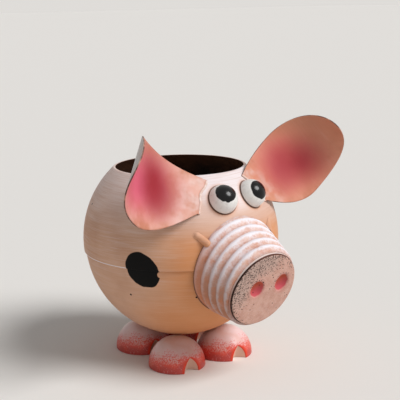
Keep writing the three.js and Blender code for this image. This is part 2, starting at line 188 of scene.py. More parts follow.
class Graph:
    """Wires the nodes of a finish or of the world; its points are in millimetres."""

    def __init__(self, tree: bpy.types.NodeTree) -> None:
        """Empties a node tree."""
        self.tree = tree
        self.tree.nodes.clear()

    def node(self, kind: str, inputs: dict[str | int, object], **settings: object) -> bpy.types.Node:
        """Adds a node.

        Args:
            kind: The node's type name.
            inputs: A link or a constant for each named or numbered input.
            settings: The node's own properties.

        Returns:
            The new node.
        """
        made = self.tree.nodes.new(kind)
        for name, value in settings.items():
            setattr(made, name, value)
        for key, value in inputs.items():
            if isinstance(value, Socket):
                self.tree.links.new(value, made.inputs[key])
            else:
                made.inputs[key].default_value = value
        return made

    def mapped(self, vector: Socket, place: Sequence[float], turn: Sequence[float], scale: Triple) -> Socket:
        """Brings a point into a frame.

        Args:
            vector: The point.
            place: The frame's origin.
            turn: The frame's Euler angles.
            scale: The length of the frame's unit on each axis.

        Returns:
            The point in the frame.
        """
        inputs = {"Vector": vector, "Location": place, "Rotation": turn, "Scale": scale}
        return self.node("ShaderNodeMapping", inputs, vector_type="TEXTURE").outputs[0]

    def place(self, seat: Matrix) -> Socket:
        """Gives the surface point in a frame of the part, which has no scale."""
        coordinates = self.node("ShaderNodeTexCoord", {}).outputs["Object"]
        return self.mapped(coordinates, seat.to_translation(), seat.to_euler(), (MM, MM, MM))

    def math(self, operation: str, first: Value, second: Value = 0.0) -> Socket:
        """Combines two numbers with a Math node."""
        return self.node("ShaderNodeMath", {0: first, 1: second}, operation=operation).outputs[0]

    def total(self, *values: Value) -> Value:
        """Adds numbers."""
        return reduce(partial(self.math, "ADD"), values)

    def product(self, *values: Value) -> Value:
        """Multiplies numbers."""
        return reduce(partial(self.math, "MULTIPLY"), values)

    def less(self, first: Value, second: Value) -> Socket:
        """Takes the second number from the first."""
        return self.math("SUBTRACT", first, second)

    def most(self, first: Value, second: Value) -> Socket:
        """Gives the larger of two numbers."""
        return self.math("MAXIMUM", first, second)

    def vector(self, operation: str, first: Socket, second: Sequence[float] | Socket = (0, 0, 0)) -> Socket:
        """Combines two vectors.

        Args:
            operation: The Vector Math operation.
            first: The first vector.
            second: The second vector.

        Returns:
            A number for a length or a dot product, and otherwise a vector.
        """
        made = self.node("ShaderNodeVectorMath", {0: first, 1: second}, operation=operation)
        scalar = operation in ("LENGTH", "DISTANCE", "DOT_PRODUCT")
        return made.outputs["Value" if scalar else "Vector"]

    def split(self, vector: Socket) -> list[Socket]:
        """Gives a vector's three parts."""
        return list(self.node("ShaderNodeSeparateXYZ", {0: vector}).outputs)

    def length(self, vector: Socket) -> Socket:
        """Gives a vector's length."""
        return self.vector("LENGTH", vector)

    def flat(self, vector: Socket) -> Socket:
        """Drops a vector's Z."""
        return self.vector("MULTIPLY", vector, (1, 1, 0))

    def fade(self, value: Value, fade: Fade) -> Socket:
        """Follows a fade."""
        inputs = {"Value": value, "From Min": fade.start, "From Max": fade.end, "To Max": fade.share}
        return self.node("ShaderNodeMapRange", inputs, interpolation_type="SMOOTHSTEP").outputs[0]

    def facing(self, outward: Socket, place: Pair, fade: Fade) -> Socket:
        """Fades by the cosine of the angle to a place on the ball, given as azimuth and elevation."""
        return self.fade(self.vector("DOT_PRODUCT", outward, ball_direction(*place)), fade)

    def mix(self, share: Value, first: Colour | Socket, second: Colour | Socket) -> Socket:
        """Mixes the second colour into the first; the Mix node's colour sockets go by number."""
        inputs = {0: share, 6: first, 7: second}
        return self.node("ShaderNodeMix", inputs, data_type="RGBA").outputs[2]

    def coat(self, under: Colour | Socket, over: Colour | Socket, *shares: Value) -> Socket:
        """Lays one colour over another by the product of its shares."""
        return self.mix(self.product(*shares), under, over)

    def noise(self, vector: Socket, scale: float, detail: float = 2.0) -> Socket:
        """Gives soft noise about 0.5, with scale as its waves per unit."""
        inputs = {"Vector": vector, "Scale": scale, "Detail": detail}
        return self.node("ShaderNodeTexNoise", inputs).outputs[0]

    def mottle(self, vector: Socket, mottle: Mottle) -> Socket:
        """Gives the share of the paint that a mottle lets show."""
        return self.fade(self.noise(vector, mottle.scale, mottle.detail), mottle.fade)

    def sway(self, noise: Socket, reach: float) -> Socket:
        """Turns noise into a sway about 0, with its reach from end to end."""
        return self.product(self.less(noise, 0.5), reach)

    def streaks(self, vector: Socket, scale: Triple, detail: float = 3.0) -> Socket:
        """Gives noise with its own scale on each axis."""
        return self.noise(self.vector("MULTIPLY", vector, scale), 1.0, detail)

    def dots(self, vector: Socket, size: float, share: Value, edge: Fade = Fade(0.55, 0.3)) -> Socket:
        """Scatters dots.

        Args:
            vector: The surface point.
            size: The spacing of the dots, in the point's unit.
            share: How many of the places carry a dot, 0 to 1.
            edge: The fade at a dot's edge, in spacings from its middle.

        Returns:
            1 in a dot and 0 elsewhere.
        """
        cells = self.node("ShaderNodeTexVoronoi", {"Vector": vector, "Scale": 1 / size})
        chance = self.split(cells.outputs["Color"])[0]
        taken = self.math("LESS_THAN", chance, share)
        return self.product(self.fade(cells.outputs["Distance"], edge), taken)

    def surface(
        self, colour: Colour | Socket, roughness: Value, gloss: float, relief: Socket, depth: float,
    ) -> None:
        """Ends the graph with a painted surface.

        Args:
            colour: The paint's colour.
            roughness: The paint's roughness.
            gloss: How strongly the paint mirrors, where 0.5 is plain varnish.
            relief: The height of the surface, 0 to 1.
            depth: The relief's height in millimetres.
        """
        bump = self.node("ShaderNodeBump", {"Height": relief, "Distance": depth * MM, "Strength": 1.0})
        inputs = {
            "Base Color": colour,
            "Roughness": roughness,
            "Specular IOR Level": gloss,
            "Normal": bump.outputs[0],
        }
        shader = self.node("ShaderNodeBsdfPrincipled", inputs)
        self.node("ShaderNodeOutputMaterial", {"Surface": shader.outputs[0]})


class Finish(ABC):
    """A finish that can be made into a material; its lengths are in millimetres."""

    @abstractmethod
    def wire(self, graph: Graph) -> None:
        """Lays the finish's coats in a graph."""

    def material(self, name: str) -> bpy.types.Material:
        """Makes the finish's material.

        Args:
            name: The material's name.

        Returns:
            The material.
        """
        material = bpy.data.materials.new(name)
        material.use_nodes = True
        self.wire(Graph(material.node_tree))
        return material


@dataclass(frozen=True)
class Spot:
    """A hand-painted black spot on the ball, a tilted oval that is cut back just below the seam."""

    azimuth: float = -58.4
    elevation: float = -6.2
    tilt: float = 38.0
    half_width: float = 15.8
    half_height: float = 19.4
    edge: Fade = Fade(1.12, 1.08)
    wobble_scale: float = 0.07
    wobble_reach: float = 0.2
    nick_right: float = 17.8
    nick_up: float = -4.0
    nick_edge: Fade = Fade(2.9, 3.5)
    near_side: Fade = Fade(40.0, 50.0)

    def mask(self, graph: Graph, centre: Vector) -> Socket:
        """Draws the spot.

        Args:
            graph: The finish that carries it.
            centre: The ball's centre.

        Returns:
            1 inside the spot and 0 outside.
        """
        point = graph.place(patch_frame(centre, self.azimuth, self.elevation, self.tilt))
        oval = graph.vector("MULTIPLY", point, (1 / self.half_width, 1 / self.half_height, 0))
        wobble = graph.product(graph.noise(point, self.wobble_scale), self.wobble_reach)
        inside = graph.fade(graph.total(graph.length(oval), wobble), self.edge)
        upright = graph.flat(graph.place(patch_frame(centre, self.azimuth, self.elevation)))
        from_nick = graph.vector("DISTANCE", upright, (self.nick_right, self.nick_up, 0))
        near = graph.fade(graph.split(point)[2], self.near_side)
        return graph.product(inside, graph.fade(from_nick, self.nick_edge), near)


@dataclass(frozen=True)
class BallPaint(Finish):
    """Matt peach paint, brushed level with chalky white, with an ochre wash low down and round the snout
    that is partly painted warm bounce light, and painted light on the brow and crown.
    """

    centre: Vector
    snout_frame: Matrix
    eye_seats: tuple[Vector, ...]
    seam_height: float
    spot: Spot = Spot()
    peach: Colour = paint(216, 172, 145)
    tan: Colour = paint(190, 140, 112)
    ochre: Colour = paint(216, 143, 88)
    chalk: Colour = paint(236, 225, 226)
    brown: Colour = paint(104, 60, 40)
    black: Colour = paint(9, 8, 8)
    roughness: float = 0.58
    spot_roughness: float = 0.5
    gloss: float = 0.1
    relief: float = 0.08
    patches: Mottle = Mottle(0.02, Fade(0.38, 0.7, 0.55), 3.0)
    belly: Pair = (-8.0, -46.0)
    belly_wash_and_bounce: Fade = Fade(0.55, 0.97, 0.8)
    snout_wash_and_bounce: Fade = Fade(92.0, 54.0, 0.8)
    wash_ahead: Fade = Fade(-0.1, -0.6)
    wash_beside: Fade = Fade(50.0, 22.0)
    brow: Pair = (2.0, 54.0)
    brow_highlight: Fade = Fade(0.80, 0.95)
    crown_chalk_and_light: Fade = Fade(10.0, 75.0, 0.6)
    stroke_scale: Triple = (0.022, 0.022, 0.22)
    hair_scale: Triple = (0.035, 0.035, 2.2)
    hair_share: float = 0.65
    pale_strokes: Fade = Fade(0.47, 0.66, 0.25)
    dark_strokes: Fade = Fade(0.52, 0.36, 0.3)
    brushed_low: float = 0.3
    brushed_high: Fade = Fade(-60.0, 20.0, 0.7)
    face_calm: Fade = Fade(-0.6, -0.92, 0.65)
    seam_edge: float = 0.4
    seam_wear_and_highlight: Fade = Fade(0.9, 0.3)
    seam_sides: Fade = Fade(0.7, 0.92)
    eye_wash_and_shade: Fade = Fade(19.0, 15.0, 0.35)
    eye_seat_shade: Fade = Fade(16.0, 14.8, 0.85)
    chips: tuple[Pair, ...] = ((-69.0, -23.0), (-110.0, 24.0), (-27.4, -23.0), (74.0, 12.0))
    chip_edge: Fade = Fade(0.013, 0.009)

    def wash_and_bounce(self, graph: Graph, outward: Socket, ahead: Socket) -> Socket:
        """Finds the ochre wash under the belly and beside the snout's root, which is partly paint and partly
        painted warm bounce light.

        Args:
            graph: The finish's graph.
            outward: The direction from the ball's centre.
            ahead: Its part along Y, which is -1 straight ahead.

        Returns:
            The wash's share.
        """
        below = graph.facing(outward, self.belly, self.belly_wash_and_bounce)
        from_snout = graph.place(self.snout_frame)
        near = graph.fade(graph.length(graph.flat(from_snout)), self.snout_wash_and_bounce)
        beside = graph.fade(graph.split(from_snout)[1], self.wash_beside)
        return graph.most(below, graph.product(near, graph.fade(ahead, self.wash_ahead), beside))

    def wire(self, graph: Graph) -> None:
        """Lays the paint, the wash with its painted bounce light, the painted light on brow and crown and
        the strokes, and then the seam's wear and painted highlight, the eyes' wash and painted shade, chips
        and spot.

        Args:
            graph: The finish's graph.
        """
        point = graph.place(Matrix.Translation(self.centre))
        height = graph.split(point)[2]
        outward = graph.vector("NORMALIZE", point)
        across, ahead, _ = graph.split(outward)
        colour = graph.coat(self.peach, self.tan, graph.mottle(point, self.patches))
        # Ochre wash low down and beside the snout: partly paint, partly painted warm bounce light.
        colour = graph.coat(colour, self.ochre, self.wash_and_bounce(graph, outward, ahead))
        # Painted highlight: the brow facing the light turns chalk pale; towards the top the crown turns
        # chalkier, partly chalky paint and partly painted light.
        brow = graph.facing(outward, self.brow, self.brow_highlight)
        colour = graph.coat(colour, self.chalk, graph.most(brow, graph.fade(height, self.crown_chalk_and_light)))
        strokes = graph.product(graph.streaks(point, self.stroke_scale), 1 - self.hair_share)
        dry = graph.total(strokes, graph.product(graph.streaks(point, self.hair_scale), self.hair_share))
        brushed = graph.total(graph.fade(height, self.brushed_high), self.brushed_low)
        brushed = graph.product(brushed, graph.less(1.0, graph.fade(ahead, self.face_calm)))
        colour = graph.coat(colour, self.chalk, graph.fade(dry, self.pale_strokes), brushed)
        colour = graph.coat(colour, self.tan, graph.fade(dry, self.dark_strokes), brushed)
        # A pale line along the upper shell's lower edge on the ball's sides: worn chalk and a painted
        # highlight.
        from_seam = graph.math("ABSOLUTE", graph.less(height, self.seam_height / MM + self.seam_edge))
        sideways = graph.fade(graph.math("ABSOLUTE", across), self.seam_sides)
        colour = graph.coat(colour, self.chalk, graph.fade(from_seam, self.seam_wear_and_highlight), sideways)
        # Round each eye: an ochre wash that is partly painted shade, and a dark line of painted shade where
        # the dome meets the ball.
        for seat in self.eye_seats:
            away = graph.vector("DISTANCE", point, (seat - self.centre) / MM)
            colour = graph.coat(colour, self.ochre, graph.fade(away, self.eye_wash_and_shade))
            colour = graph.coat(colour, self.brown, graph.fade(away, self.eye_seat_shade))
        for chip in self.chips:
            away = graph.vector("DISTANCE", outward, ball_direction(*chip))
            colour = graph.coat(colour, self.black, graph.fade(away, self.chip_edge))
        spot = self.spot.mask(graph, self.centre)
        colour = graph.coat(colour, self.black, spot)
        roughness = graph.less(self.roughness, graph.product(spot, self.roughness - self.spot_roughness))
        graph.surface(colour, roughness, self.gloss, dry, self.relief)


@dataclass(frozen=True)
class HollowPaint(Finish):
    """Dark rust primer inside the planter, turning warm brown near the rim: painted light near the rim and
    painted shade deeper in the hollow.
    """

    centre: Vector
    dark: Colour = paint(50, 41, 36)
    rust: Colour = paint(92, 62, 46)
    warm: Colour = paint(132, 84, 58)
    roughness: float = 0.85
    gloss: float = 0.3
    relief: float = 0.3
    grain_scale: float = 0.6
    drift_scale: float = 0.04
    drift_detail: float = 4.0
    rusty: Fade = Fade(0.45, 0.7)
    rim: Fade = Fade(50.0, 72.0, 0.9)
    rim_sway: float = 30.0

    def wire(self, graph: Graph) -> None:
        """Lays the primer, the rust and the painted light and shade by height.

        Args:
            graph: The finish's graph.
        """
        point = graph.place(Matrix.Translation(self.centre))
        drift = graph.noise(point, self.drift_scale, self.drift_detail)
        colour = graph.coat(self.dark, self.rust, graph.fade(drift, self.rusty))
        # Painted light and shade: warm brown near the rim, dark deeper in the hollow.
        height = graph.total(graph.split(point)[2], graph.sway(drift, self.rim_sway))
        colour = graph.coat(colour, self.warm, graph.fade(height, self.rim))
        graph.surface(colour, self.roughness, self.gloss, graph.noise(point, self.grain_scale), self.relief)


@dataclass(frozen=True)
class SnoutPaint(Finish):
    """Paint on the ribbed tube with its ridges dry-brushed white; painted light makes the valleys peach and
    the ridges white on top, and painted shade makes the valleys tan and the ridges lilac grey low on the
    sides.
    """

    centre: Vector
    snout_frame: Matrix
    ball_radius: float
    rib_start: float
    rib_pitch: float
    rib_slope: float
    tan: Colour = paint(172, 114, 86)
    peach: Colour = paint(224, 184, 168)
    orange: Colour = paint(200, 126, 90)
    lilac: Colour = paint(188, 163, 158)
    white: Colour = paint(240, 236, 242)
    brown: Colour = paint(96, 54, 38)
    roughness: float = 0.55
    gloss: float = 0.3
    relief: float = 0.15
    top: Fade = Fade(-24.0, 46.0)
    aside: Fade = Fade(46.0, 16.0)
    blotches: Mottle = Mottle(0.09, Fade(0.45, 0.65, 0.6))
    grain_scale: float = 0.6
    grain_reach: float = 0.9
    break_scale: float = 0.11
    break_reach: float = 1.7
    break_middle: float = 1.3
    break_detail: float = 4.0
    crest_lift: float = 0.8
    top_lift: float = 0.3
    brushed: Fade = Fade(-0.1, 1.0)
    flecks: Mottle = Mottle(0.22, Fade(0.52, 0.68, 0.45))
    fleck_crest: Fade = Fade(1.1, 0.3)
    root_band: Fade = Fade(14.0, 4.0, 0.6)
    root_shade_line: Fade = Fade(1.7, 0.8, 0.9)
    root_shade_least: float = 0.25

    def crest(self, graph: Graph, point: Socket) -> Socket:
        """Finds the ribs.

        Args:
            graph: The finish's graph.
            point: The surface point in the snout's frame.

        Returns:
            1 on a ridge and 0 in a valley.
        """
        behind = graph.vector("DOT_PRODUCT", point, (0.0, -self.rib_slope, -1.0))
        phase = graph.math("DIVIDE", graph.less(behind, self.rib_start / MM), self.rib_pitch / MM)
        wave = graph.math("SINE", graph.product(phase, math.pi))
        return graph.product(wave, wave)

    def wire(self, graph: Graph) -> None:
        """Lays the paint with its painted light and shade, the brushed ridges and flecks, and then the
        root's warm band and its dark line of painted shade.

        Args:
            graph: The finish's graph.
        """
        point = graph.place(self.snout_frame)
        rise = graph.split(point)[1]
        top = graph.fade(rise, self.top)
        crest = self.crest(graph, point)
        grain = graph.noise(point, self.grain_scale, self.break_detail)
        breaks = graph.noise(point, self.break_scale, self.break_detail)
        # top_lift is painted light: the ridges are brushed whiter towards the top.
        lifted = graph.total(
            graph.product(crest, crest, self.crest_lift),
            graph.product(top, self.top_lift),
            graph.product(breaks, self.break_reach),
            graph.product(grain, self.grain_reach),
            -self.break_middle,
        )
        # Painted light and shade: tan valleys and lilac grey ridges low down, peach valleys and white ridges
        # on top.
        valley = graph.mix(top, self.tan, self.peach)
        valley = graph.coat(valley, self.orange, graph.mottle(point, self.blotches))
        ridge = graph.mix(top, self.lilac, self.white)
        colour = graph.coat(valley, ridge, graph.fade(lifted, self.brushed))
        flecks = graph.mottle(point, self.flecks)
        colour = graph.coat(colour, self.orange, flecks, graph.fade(crest, self.fleck_crest))
        from_centre = graph.length(graph.place(Matrix.Translation(self.centre)))
        from_ball = graph.less(from_centre, self.ball_radius / MM)
        aside = graph.fade(rise, self.aside)
        colour = graph.coat(colour, self.orange, graph.fade(from_ball, self.root_band), aside)
        # Painted shade: a dark line where the tube meets the ball, strongest low on the sides.
        inked = graph.most(aside, self.root_shade_least)
        colour = graph.coat(colour, self.brown, graph.fade(from_ball, self.root_shade_line), inked)
        graph.surface(colour, self.roughness, self.gloss, grain, self.relief)


@dataclass(frozen=True)
class Nostril:
    """A pressed oval nostril, placed on the disc from its middle, in millimetres."""

    across: float
    rise: float
    half_width: float
    half_height: float
    depth: float = 3.6
    lip: float = 1.08
    steepness: float = 1.5
    wobble_scale: float = 0.25
    wobble_reach: float = 0.16
    edge: Fade = Fade(1.12, 1.0)
    blush: Fade = Fade(1.6, 1.0, 0.3)
    top_side: Triple = (-0.35, 0.94, 0.0)
    low: Fade = Fade(0.6, -0.7)

    def dip(self, across: float, rise: float) -> float:
        """Gives the depth pressed into the disc at a point.

        Args:
            across: The point's place across the disc.
            rise: The point's place up the disc.

        Returns:
            The depth in millimetres.
        """
        oval = math.hypot((across - self.across) / self.half_width, (rise - self.rise) / self.half_height)
        share = max(0.0, self.lip - oval) / self.lip
        return self.depth * (1 - (1 - min(1.0, share * self.steepness)) ** 2)

    def mask(self, graph: Graph, point: Socket) -> tuple[Socket, Socket, Socket]:
        """Draws the nostril.

        Args:
            graph: The finish that carries it.
            point: The surface point on the disc.

        Returns:
            The nostril's own mask, that of the blush round it, and a fade from its top to its foot.
        """
        moved = graph.vector("SUBTRACT", point, (self.across, self.rise, 0))
        oval = graph.vector("MULTIPLY", moved, (1 / self.half_width, 1 / self.half_height, 0))
        wobble = graph.product(graph.noise(point, self.wobble_scale), self.wobble_reach)
        edge = graph.total(graph.length(oval), wobble)
        low = graph.fade(graph.vector("DOT_PRODUCT", oval, self.top_side), self.low)
        return graph.fade(edge, self.edge), graph.fade(edge, self.blush), low


@dataclass(frozen=True)
class DiscPaint(Finish):
    """Dusty pink paint on the snout's face, with coral nostrils, stippled black high on the pig's right."""

    snout_frame: Matrix
    radius: float
    nostrils: tuple[Nostril, ...]
    dusty: Colour = paint(210, 166, 150)
    mauve: Colour = paint(198, 150, 134)
    grey: Colour = paint(182, 162, 152)
    coral: Colour = paint(186, 86, 60)
    rose: Colour = paint(194, 84, 92)
    pale: Colour = paint(232, 214, 208)
    brown: Colour = paint(92, 54, 42)
    black: Colour = paint(20, 16, 15)
    roughness: float = 0.6
    gloss: float = 0.15
    relief: float = 0.15
    mauves: Mottle = Mottle(0.12, Fade(0.38, 0.66))
    grain_scale: float = 1.1
    grain_detail: float = 3.0
    pale_grain: Fade = Fade(0.5, 0.7, 0.35)
    soot_side: Triple = (-0.7, 0.71, 0.0)
    soot_turn: Fade = Fade(0.05, 0.8)
    soot_reach: Fade = Fade(0.35, 0.75)
    soot_share: float = 0.6
    soot_dots: float = 0.55
    rim_turn: Fade = Fade(-0.6, 0.1)
    rim_dots: Fade = Fade(0.82, 1.0, 0.6)
    loose_dots: float = 0.012
    coarse_dot: float = 1.45
    fine_dot: float = 0.95
    fine_dots: float = 0.8
    fine_shift: Triple = (7.0, 3.0, 1.0)
    dot_share: float = 0.92
    side_reach: Fade = Fade(-1.4, -0.6)
    side_depth: Fade = Fade(-1.4, -2.2)
    side_light: Fade = Fade(-0.2, 0.7)
    line_reach: Fade = Fade(-1.2, -0.6)
    line_depth: Fade = Fade(-2.4, -1.9)
    line_turn: Fade = Fade(-0.5, 0.05)
    line_least: float = 0.25
    ink_side: Fade = Fade(-0.25, -0.6)
    ink_wear: Fade = Fade(0.38, 0.52)

    def wire(self, graph: Graph) -> None:
        """Lays the paint, the soot and the nostrils, then the stipple, and then the rim's side and line.

        Args:
            graph: The finish's graph.
        """
        point = graph.place(self.snout_frame)
        depth = graph.split(point)[2]
        flat = graph.flat(point)
        out = graph.length(flat)
        past_rim = graph.less(out, self.radius / MM)
        heading = graph.vector("NORMALIZE", flat)
        across, rise, _ = graph.split(heading)
        toward_soot = graph.vector("DOT_PRODUCT", heading, self.soot_side)
        grain = graph.noise(point, self.grain_scale, self.grain_detail)
        colour = graph.coat(self.dusty, self.mauve, graph.mottle(point, self.mauves))
        colour = graph.coat(colour, self.pale, graph.fade(grain, self.pale_grain))
        share_out = graph.math("DIVIDE", out, self.radius / MM)
        soot = graph.product(graph.fade(toward_soot, self.soot_turn), graph.fade(share_out, self.soot_reach))
        colour = graph.coat(colour, self.grey, soot, self.soot_share)
        rim = graph.product(graph.fade(share_out, self.rim_dots), graph.fade(toward_soot, self.rim_turn))
        density = graph.most(graph.product(soot, self.soot_dots), rim)
        for nostril in self.nostrils:
            hole, blush, low = nostril.mask(graph, point)
            colour = graph.coat(colour, self.rose, blush)
            colour = graph.coat(colour, graph.mix(low, self.coral, self.rose), hole)
            ring = graph.product(blush, graph.less(1.0, low), graph.less(1.0, hole))
            density = graph.most(density, ring)
        coarse = graph.dots(point, self.coarse_dot, graph.total(density, self.loose_dots))
        shifted = graph.vector("ADD", point, self.fine_shift)
        fine = graph.dots(shifted, self.fine_dot, graph.product(density, self.fine_dots))
        colour = graph.coat(colour, self.black, graph.most(coarse, fine), self.dot_share)
        side = graph.product(graph.fade(depth, self.side_depth), graph.fade(past_rim, self.side_reach))
        lit = graph.mix(graph.fade(rise, self.side_light), self.mauve, self.pale)
        colour = graph.coat(colour, lit, side)
        line = graph.product(graph.fade(past_rim, self.line_reach), graph.fade(depth, self.line_depth))
        drawn = graph.most(graph.fade(toward_soot, self.line_turn), self.line_least)
        colour = graph.coat(colour, self.brown, line, drawn)
        inked = graph.product(graph.fade(across, self.ink_side), graph.fade(grain, self.ink_wear))
        colour = graph.coat(colour, self.black, line, inked)
        graph.surface(colour, self.roughness, self.gloss, grain, self.relief)


@dataclass(frozen=True)
class Airbrush:
    """One soft oval of sprayed colour on an ear's flat sheet, in millimetres and degrees."""

    along: float
    up: float
    turn: float
    half_length: float
    half_width: float
    strength: float = 1.0
    edge: float = 1.15
    mist_reach: float = 0.3

    def mask(self, graph: Graph, point: Socket, mist: Socket) -> Socket:
        """Sprays the oval.

        Args:
            graph: The finish that carries it.
            point: The place on the flat sheet.
            mist: Soft noise that breaks the oval's edge.

        Returns:
            The colour's share, from its strength in the middle to 0 outside.
        """
        turn = (0.0, 0.0, math.radians(self.turn))
        scale = (self.half_length, self.half_width, 1.0)
        oval = graph.mapped(point, (self.along, self.up, 0.0), turn, scale)
        out = graph.total(graph.length(oval), graph.sway(mist, self.mist_reach))
        return graph.fade(out, Fade(self.edge, 0.0, self.strength))


@dataclass(frozen=True)
class SheetPaint(Finish):
    """Paint on a rolled sheet; the UV map holds the flat sheet, with the given length as its unit."""

    sheet: float

    def point(self, graph: Graph) -> Socket:
        """Gives the place on the flat sheet: along the ear, and up across it.

        Args:
            graph: The finish's graph.

        Returns:
            The place in millimetres.
        """
        flat = graph.node("ShaderNodeUVMap", {}, uv_map="sheet").outputs[0]
        centred = graph.vector("SUBTRACT", flat, (0.0, 0.5, 0.0))
        return graph.vector("MULTIPLY", centred, (self.sheet / MM, self.sheet / MM, 0.0))


@dataclass(frozen=True)
class EarPaint(SheetPaint):
    """Peach paint on the ear's face, airbrushed pink and crimson over the fold."""

    peach: Colour
    pink: Colour
    pinks: tuple[Airbrush, ...]
    crimsons: tuple[Airbrush, ...]
    tawny: Colour = paint(196, 130, 102)
    chalk: Colour = paint(230, 208, 204)
    crimson: Colour = paint(154, 36, 48)
    roughness: float = 0.45
    gloss: float = 0.3
    relief: float = 0.04
    mist_scale: float = 0.045
    mist_detail: float = 3.0
    tawny_mist: Fade = Fade(0.4, 0.66)
    tawny_tip: Fade = Fade(40.0, 100.0, 0.8)
    stroke_scale: Triple = (0.3, 0.03, 1.0)
    pale_strokes: Fade = Fade(0.5, 0.8, 0.08)
    root: Fade = Fade(32.0, 2.0)
    root_blotches: Mottle = Mottle(0.075, Fade(0.4, 0.66, 0.55), 2.0)

    @classmethod
    def for_side(cls, side: Side, sheet: float) -> "EarPaint":
        """Chooses the sprays of one ear.

        Args:
            side: The pig's side.
            sheet: The length that the UV map's unit stands for.

        Returns:
            The ear's paint.
        """
        if side is Side.LEFT:
            pinks = (Airbrush(54, -16, -40, 56, 42), Airbrush(47, -13, 30, 34, 28, 0.5))
            crimsons = (Airbrush(68, -26, -50, 38, 30, 0.8), Airbrush(43, -14, 60, 34, 22, 0.5))
            # The left ear's peach and pink are darker and warmer than the right ear's: painted shade with
            # painted warm bounce light.
            return cls(sheet, paint(212, 148, 120), paint(200, 90, 90), pinks, crimsons)
        pinks = (Airbrush(67, -19, -20, 58, 43), Airbrush(80, -28, -35, 36, 28, 0.8))
        crimsons = (
            Airbrush(53, -11, 50, 40, 28),
            Airbrush(47, -19, 60, 28, 21, 0.6),
            # This broad, weak crimson towards the root is painted shade on the ear's face.
            Airbrush(36, -12, 20, 36, 34, 0.3),
        )
        return cls(sheet, paint(220, 166, 148), paint(216, 96, 120), pinks, crimsons)

    def wire(self, graph: Graph) -> None:
        """Lays the peach, the tawny tip and the sprays, and then the chalky root.

        Args:
            graph: The finish's graph.
        """
        point = self.point(graph)
        along, up, _ = graph.split(point)
        mist = graph.noise(point, self.mist_scale, self.mist_detail)
        strokes = graph.streaks(point, self.stroke_scale)
        colour = graph.coat(self.peach, self.tawny, graph.fade(mist, self.tawny_mist))
        colour = graph.coat(colour, self.tawny, graph.fade(graph.total(along, up), self.tawny_tip))
        colour = graph.coat(colour, self.chalk, graph.fade(strokes, self.pale_strokes))
        for sprays, sprayed in ((self.pinks, self.pink), (self.crimsons, self.crimson)):
            for spray in sprays:
                colour = graph.coat(colour, sprayed, spray.mask(graph, point, mist))
        blotches = graph.mottle(point, self.root_blotches)
        colour = graph.coat(colour, self.chalk, graph.fade(along, self.root), blotches)
        graph.surface(colour, self.roughness, self.gloss, strokes, self.relief)


@dataclass(frozen=True)
class EarBackPaint(SheetPaint):
    """Plain grey paint on the ear's back, warmed with the face's peach and brushed with chalk."""

    peach: Colour
    grey: Colour = paint(208, 203, 200)
    chalk: Colour = paint(230, 208, 204)
    roughness: float = 0.45
    gloss: float = 0.3
    relief: float = 0.1
    warmth: Mottle = Mottle(0.035, Fade(0.45, 0.7, 0.4), 3.0)
    stroke_scale: Triple = (0.35, 0.03, 1.0)
    pale_strokes: Fade = Fade(0.45, 0.7, 0.4)

    def wire(self, graph: Graph) -> None:
        """Lays the grey, the peach and the chalk.

        Args:
            graph: The finish's graph.
        """
        point = self.point(graph)
        strokes = graph.streaks(point, self.stroke_scale)
        colour = graph.coat(self.grey, self.peach, graph.mottle(point, self.warmth))
        colour = graph.coat(colour, self.chalk, graph.fade(strokes, self.pale_strokes))
        graph.surface(colour, self.roughness, self.gloss, strokes, self.relief)


@dataclass(frozen=True)
class EdgePaint(Finish):
    """The bare cut edge of a sheet, painted dark as painted shade along the thin rim, and worn lighter in
    patches.
    """

    dark: Colour = paint(96, 64, 58)
    worn: Colour = paint(190, 142, 122)
    roughness: float = 0.6
    gloss: float = 0.3
    relief: float = 0.1
    wear_scale: float = 0.12
    wear_detail: float = 3.0
    wear: Fade = Fade(0.42, 0.62)

    def wire(self, graph: Graph) -> None:
        """Lays the dark paint of painted shade and its wear.

        Args:
            graph: The finish's graph.
        """
        wear = graph.noise(graph.place(Matrix()), self.wear_scale, self.wear_detail)
        # Painted shade: the dark rim, worn lighter in patches.
        colour = graph.coat(self.dark, self.worn, graph.fade(wear, self.wear))
        graph.surface(colour, self.roughness, self.gloss, wear, self.relief)


